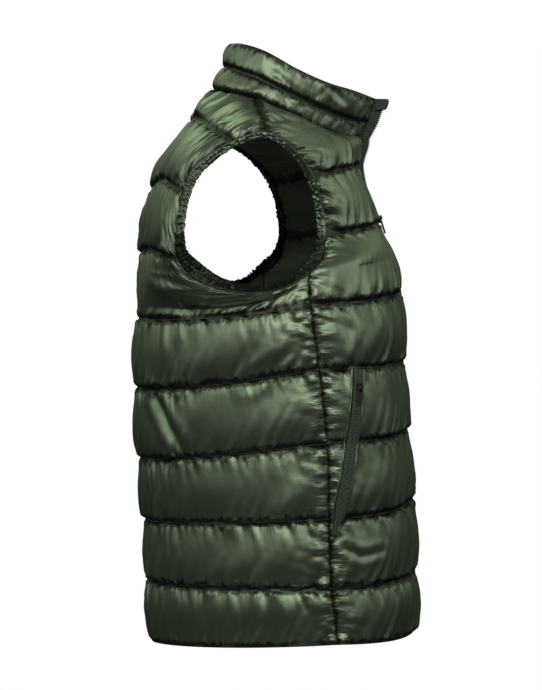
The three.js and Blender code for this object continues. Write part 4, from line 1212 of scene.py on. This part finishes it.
# %% The folded tab over the zip's top end
def zip_garage():
    top = collar_point([6], 2)[0]
    along = unit(np.array([[13.0, -3.0, 0.0]]))[0]
    facing = np.array([-along[1], along[0], 0.0])
    bm = bmesh.new()
    bmesh.ops.create_cube(bm, size=1)
    bmesh.ops.scale(bm, vec=(18.6, 2.4, 14), verts=bm.verts)
    bmesh.ops.translate(bm, vec=(8.2, 1.2, -7), verts=bm.verts)
    upright = [edge for edge in bm.edges if abs(edge.verts[0].co.y - edge.verts[1].co.y) > 1]
    bmesh.ops.bevel(bm, geom=[e for e in upright if e.verts[0].co.x > 9], offset=3.5, segments=4,
                    affect="EDGES", profile=0.5, material=-1)
    bmesh.ops.bevel(bm, geom=[e for e in bm.edges if e.calc_face_angle(0) > 0.9], offset=0.8, segments=3,
                    affect="EDGES", profile=0.5, material=-1)
    for vert in bm.verts:
        x, y, z = vert.co
        x -= 0.02 * x * max(0.0, -z - 4)
        place = (top + along * x + facing * (y - 0.2) + np.array([0, 0, z])) * (1, -1, 1)
        vert.co = place * MM
    bmesh.ops.recalc_face_normals(bm, faces=bm.faces)
    garage = new_object("zip_garage_folded", bm, [tab_nylon])
    ride_along(garage, "quilted_nylon", "zip_garage")


zip_garage()

# %% [markdown]
# ## Quilting stitches
# The sewn lines are lockstitch, about three stitches to the centimetre in thick thread. Each
# stitch is a short rounded bar that sinks at both ends, so a small shape is copied along them.

# %% Stitches on the sewn lines
STITCH = {"pitch": 3.6, "long": 2.5, "thick": 0.45}


def stitch_line(line, out, lift=0.35):
    """Origins and axes of the stitches on one line of places."""
    spots, _ = spaced_along(line, STITCH["pitch"])
    place, facing = read_line(line, spots), unit(read_line(out, spots))
    along = unit(np.gradient(place, axis=0))
    facing = unit(facing - along * dot(facing, along))
    return place + facing * lift, np.stack([along, np.cross(facing, along), facing], axis=1)


def stitches(name, laid, rows):
    chosen = [int(np.argmin(np.abs(laid["rows"] - row))) for row in rows]
    made = [stitch_line(laid["grid"][k], laid["out"][k]) for k in chosen]
    if laid["open"]:
        made.append(stitch_line(laid["grid"][:, -2], laid["out"][:, -2], 1.6))
    bm = bmesh.new()
    bmesh.ops.create_cone(bm, cap_ends=True, segments=5, radius1=STITCH["thick"], radius2=STITCH["thick"],
                          depth=STITCH["long"], matrix=Matrix.Rotation(math.pi / 2, 4, "Y"))
    sewn = repeat_shape(name, bm, np.concatenate([m[0] for m in made]),
                        np.concatenate([m[1] for m in made]), [thread])
    ride_along(sewn, "quilted_nylon")


stitches("back_stitches", both_halves(laid_back), [1, 2, 3, 4, 5, 9, 11, 13])
stitches("front_right_stitches", mirrored_side(laid_front), [1, 2, 3, 4, 5, 7, 9])
stitches("front_left_stitches", laid_front, [1, 2, 3, 4, 5, 7, 9])
stitches("collar_stitches", both_halves(lay_out_collar(2.4)), [1])

# %% [markdown]
# ## Light and floor
# A broad soft light above the wearer's right side, fainter ones on the other sides and darkness
# below give each puff its pale crown and dark underside. The floor is pale and plain, where the
# wearer's feet would stand.

# %% Light and floor
def add_light(name, place, aim, size, power):
    data = bpy.data.lights.new(name, "AREA")
    data.shape = "RECTANGLE"
    data.size, data.size_y = size
    data.energy = power
    light = bpy.data.objects.new(name, data)
    light.location = place
    light.rotation_euler = (Vector(place) - Vector(aim)).to_track_quat("Z", "Y").to_euler()
    bpy.context.scene.collection.objects.link(light)


add_light("soft light above", (-0.35, -2.3, 1.15), (0.0, 0.0, -0.35), (2.6, 1.2), 50)
add_light("soft light in front", (2.4, -0.6, 1.0), (0.0, 0.0, -0.3), (1.0, 1.4), 8)
add_light("soft light behind", (-2.4, -0.4, 1.0), (0.0, 0.0, -0.3), (1.0, 1.4), 9)
add_light("soft light on the far side", (0.2, 2.3, 1.4), (0.0, 0.0, -0.3), (2.2, 1.2), 30)

world = bpy.data.worlds.new("pale studio")
bpy.context.scene.world = world
world.use_nodes = True
air = world.node_tree
path = add_node(air, "ShaderNodeLightPath")
place = add_node(air, "ShaderNodeTexCoord")
height = add_node(air, "ShaderNodeSeparateXYZ", {0: place.outputs["Generated"]})
level = add_node(air, "ShaderNodeMapRange", {"Value": height.outputs["Z"], "From Min": -1.0})
sky = add_node(air, "ShaderNodeValToRGB", {"Fac": level.outputs["Result"]})
bands = sky.color_ramp
for sine, value in ((-0.06, 0.006), (0.12, 0.06), (0.33, 1.1), (0.53, 0.88), (0.85, 0.18)):
    band = bands.elements.new((sine + 1) / 2)
    band.color = (value, value, value, 1)
bands.elements.remove(bands.elements[0])
bands.elements.remove(bands.elements[-1])
glow = add_node(air, "ShaderNodeMix", {0: path.outputs["Is Camera Ray"], 2: sky.outputs["Color"], 3: 1.0},
                data_type="FLOAT")
background = air.nodes["Background"]
background.inputs["Color"].default_value = (1, 1, 1, 1)
air.links.new(glow.outputs[0], background.inputs["Strength"])

bm = bmesh.new()
bmesh.ops.create_circle(bm, cap_ends=True, segments=96, radius=0.7,
                        matrix=Matrix.Translation((0, 0, -1.45)))
floor_paint, _, _ = new_material("matt white floor paint", Roughness=0.8)
floor_paint.node_tree.nodes["Principled BSDF"].inputs["Base Color"].default_value = linear("#f2f2f0")
floor = new_object("floor", bm, [floor_paint])
bpy.context.scene.view_settings.view_transform = "Standard"
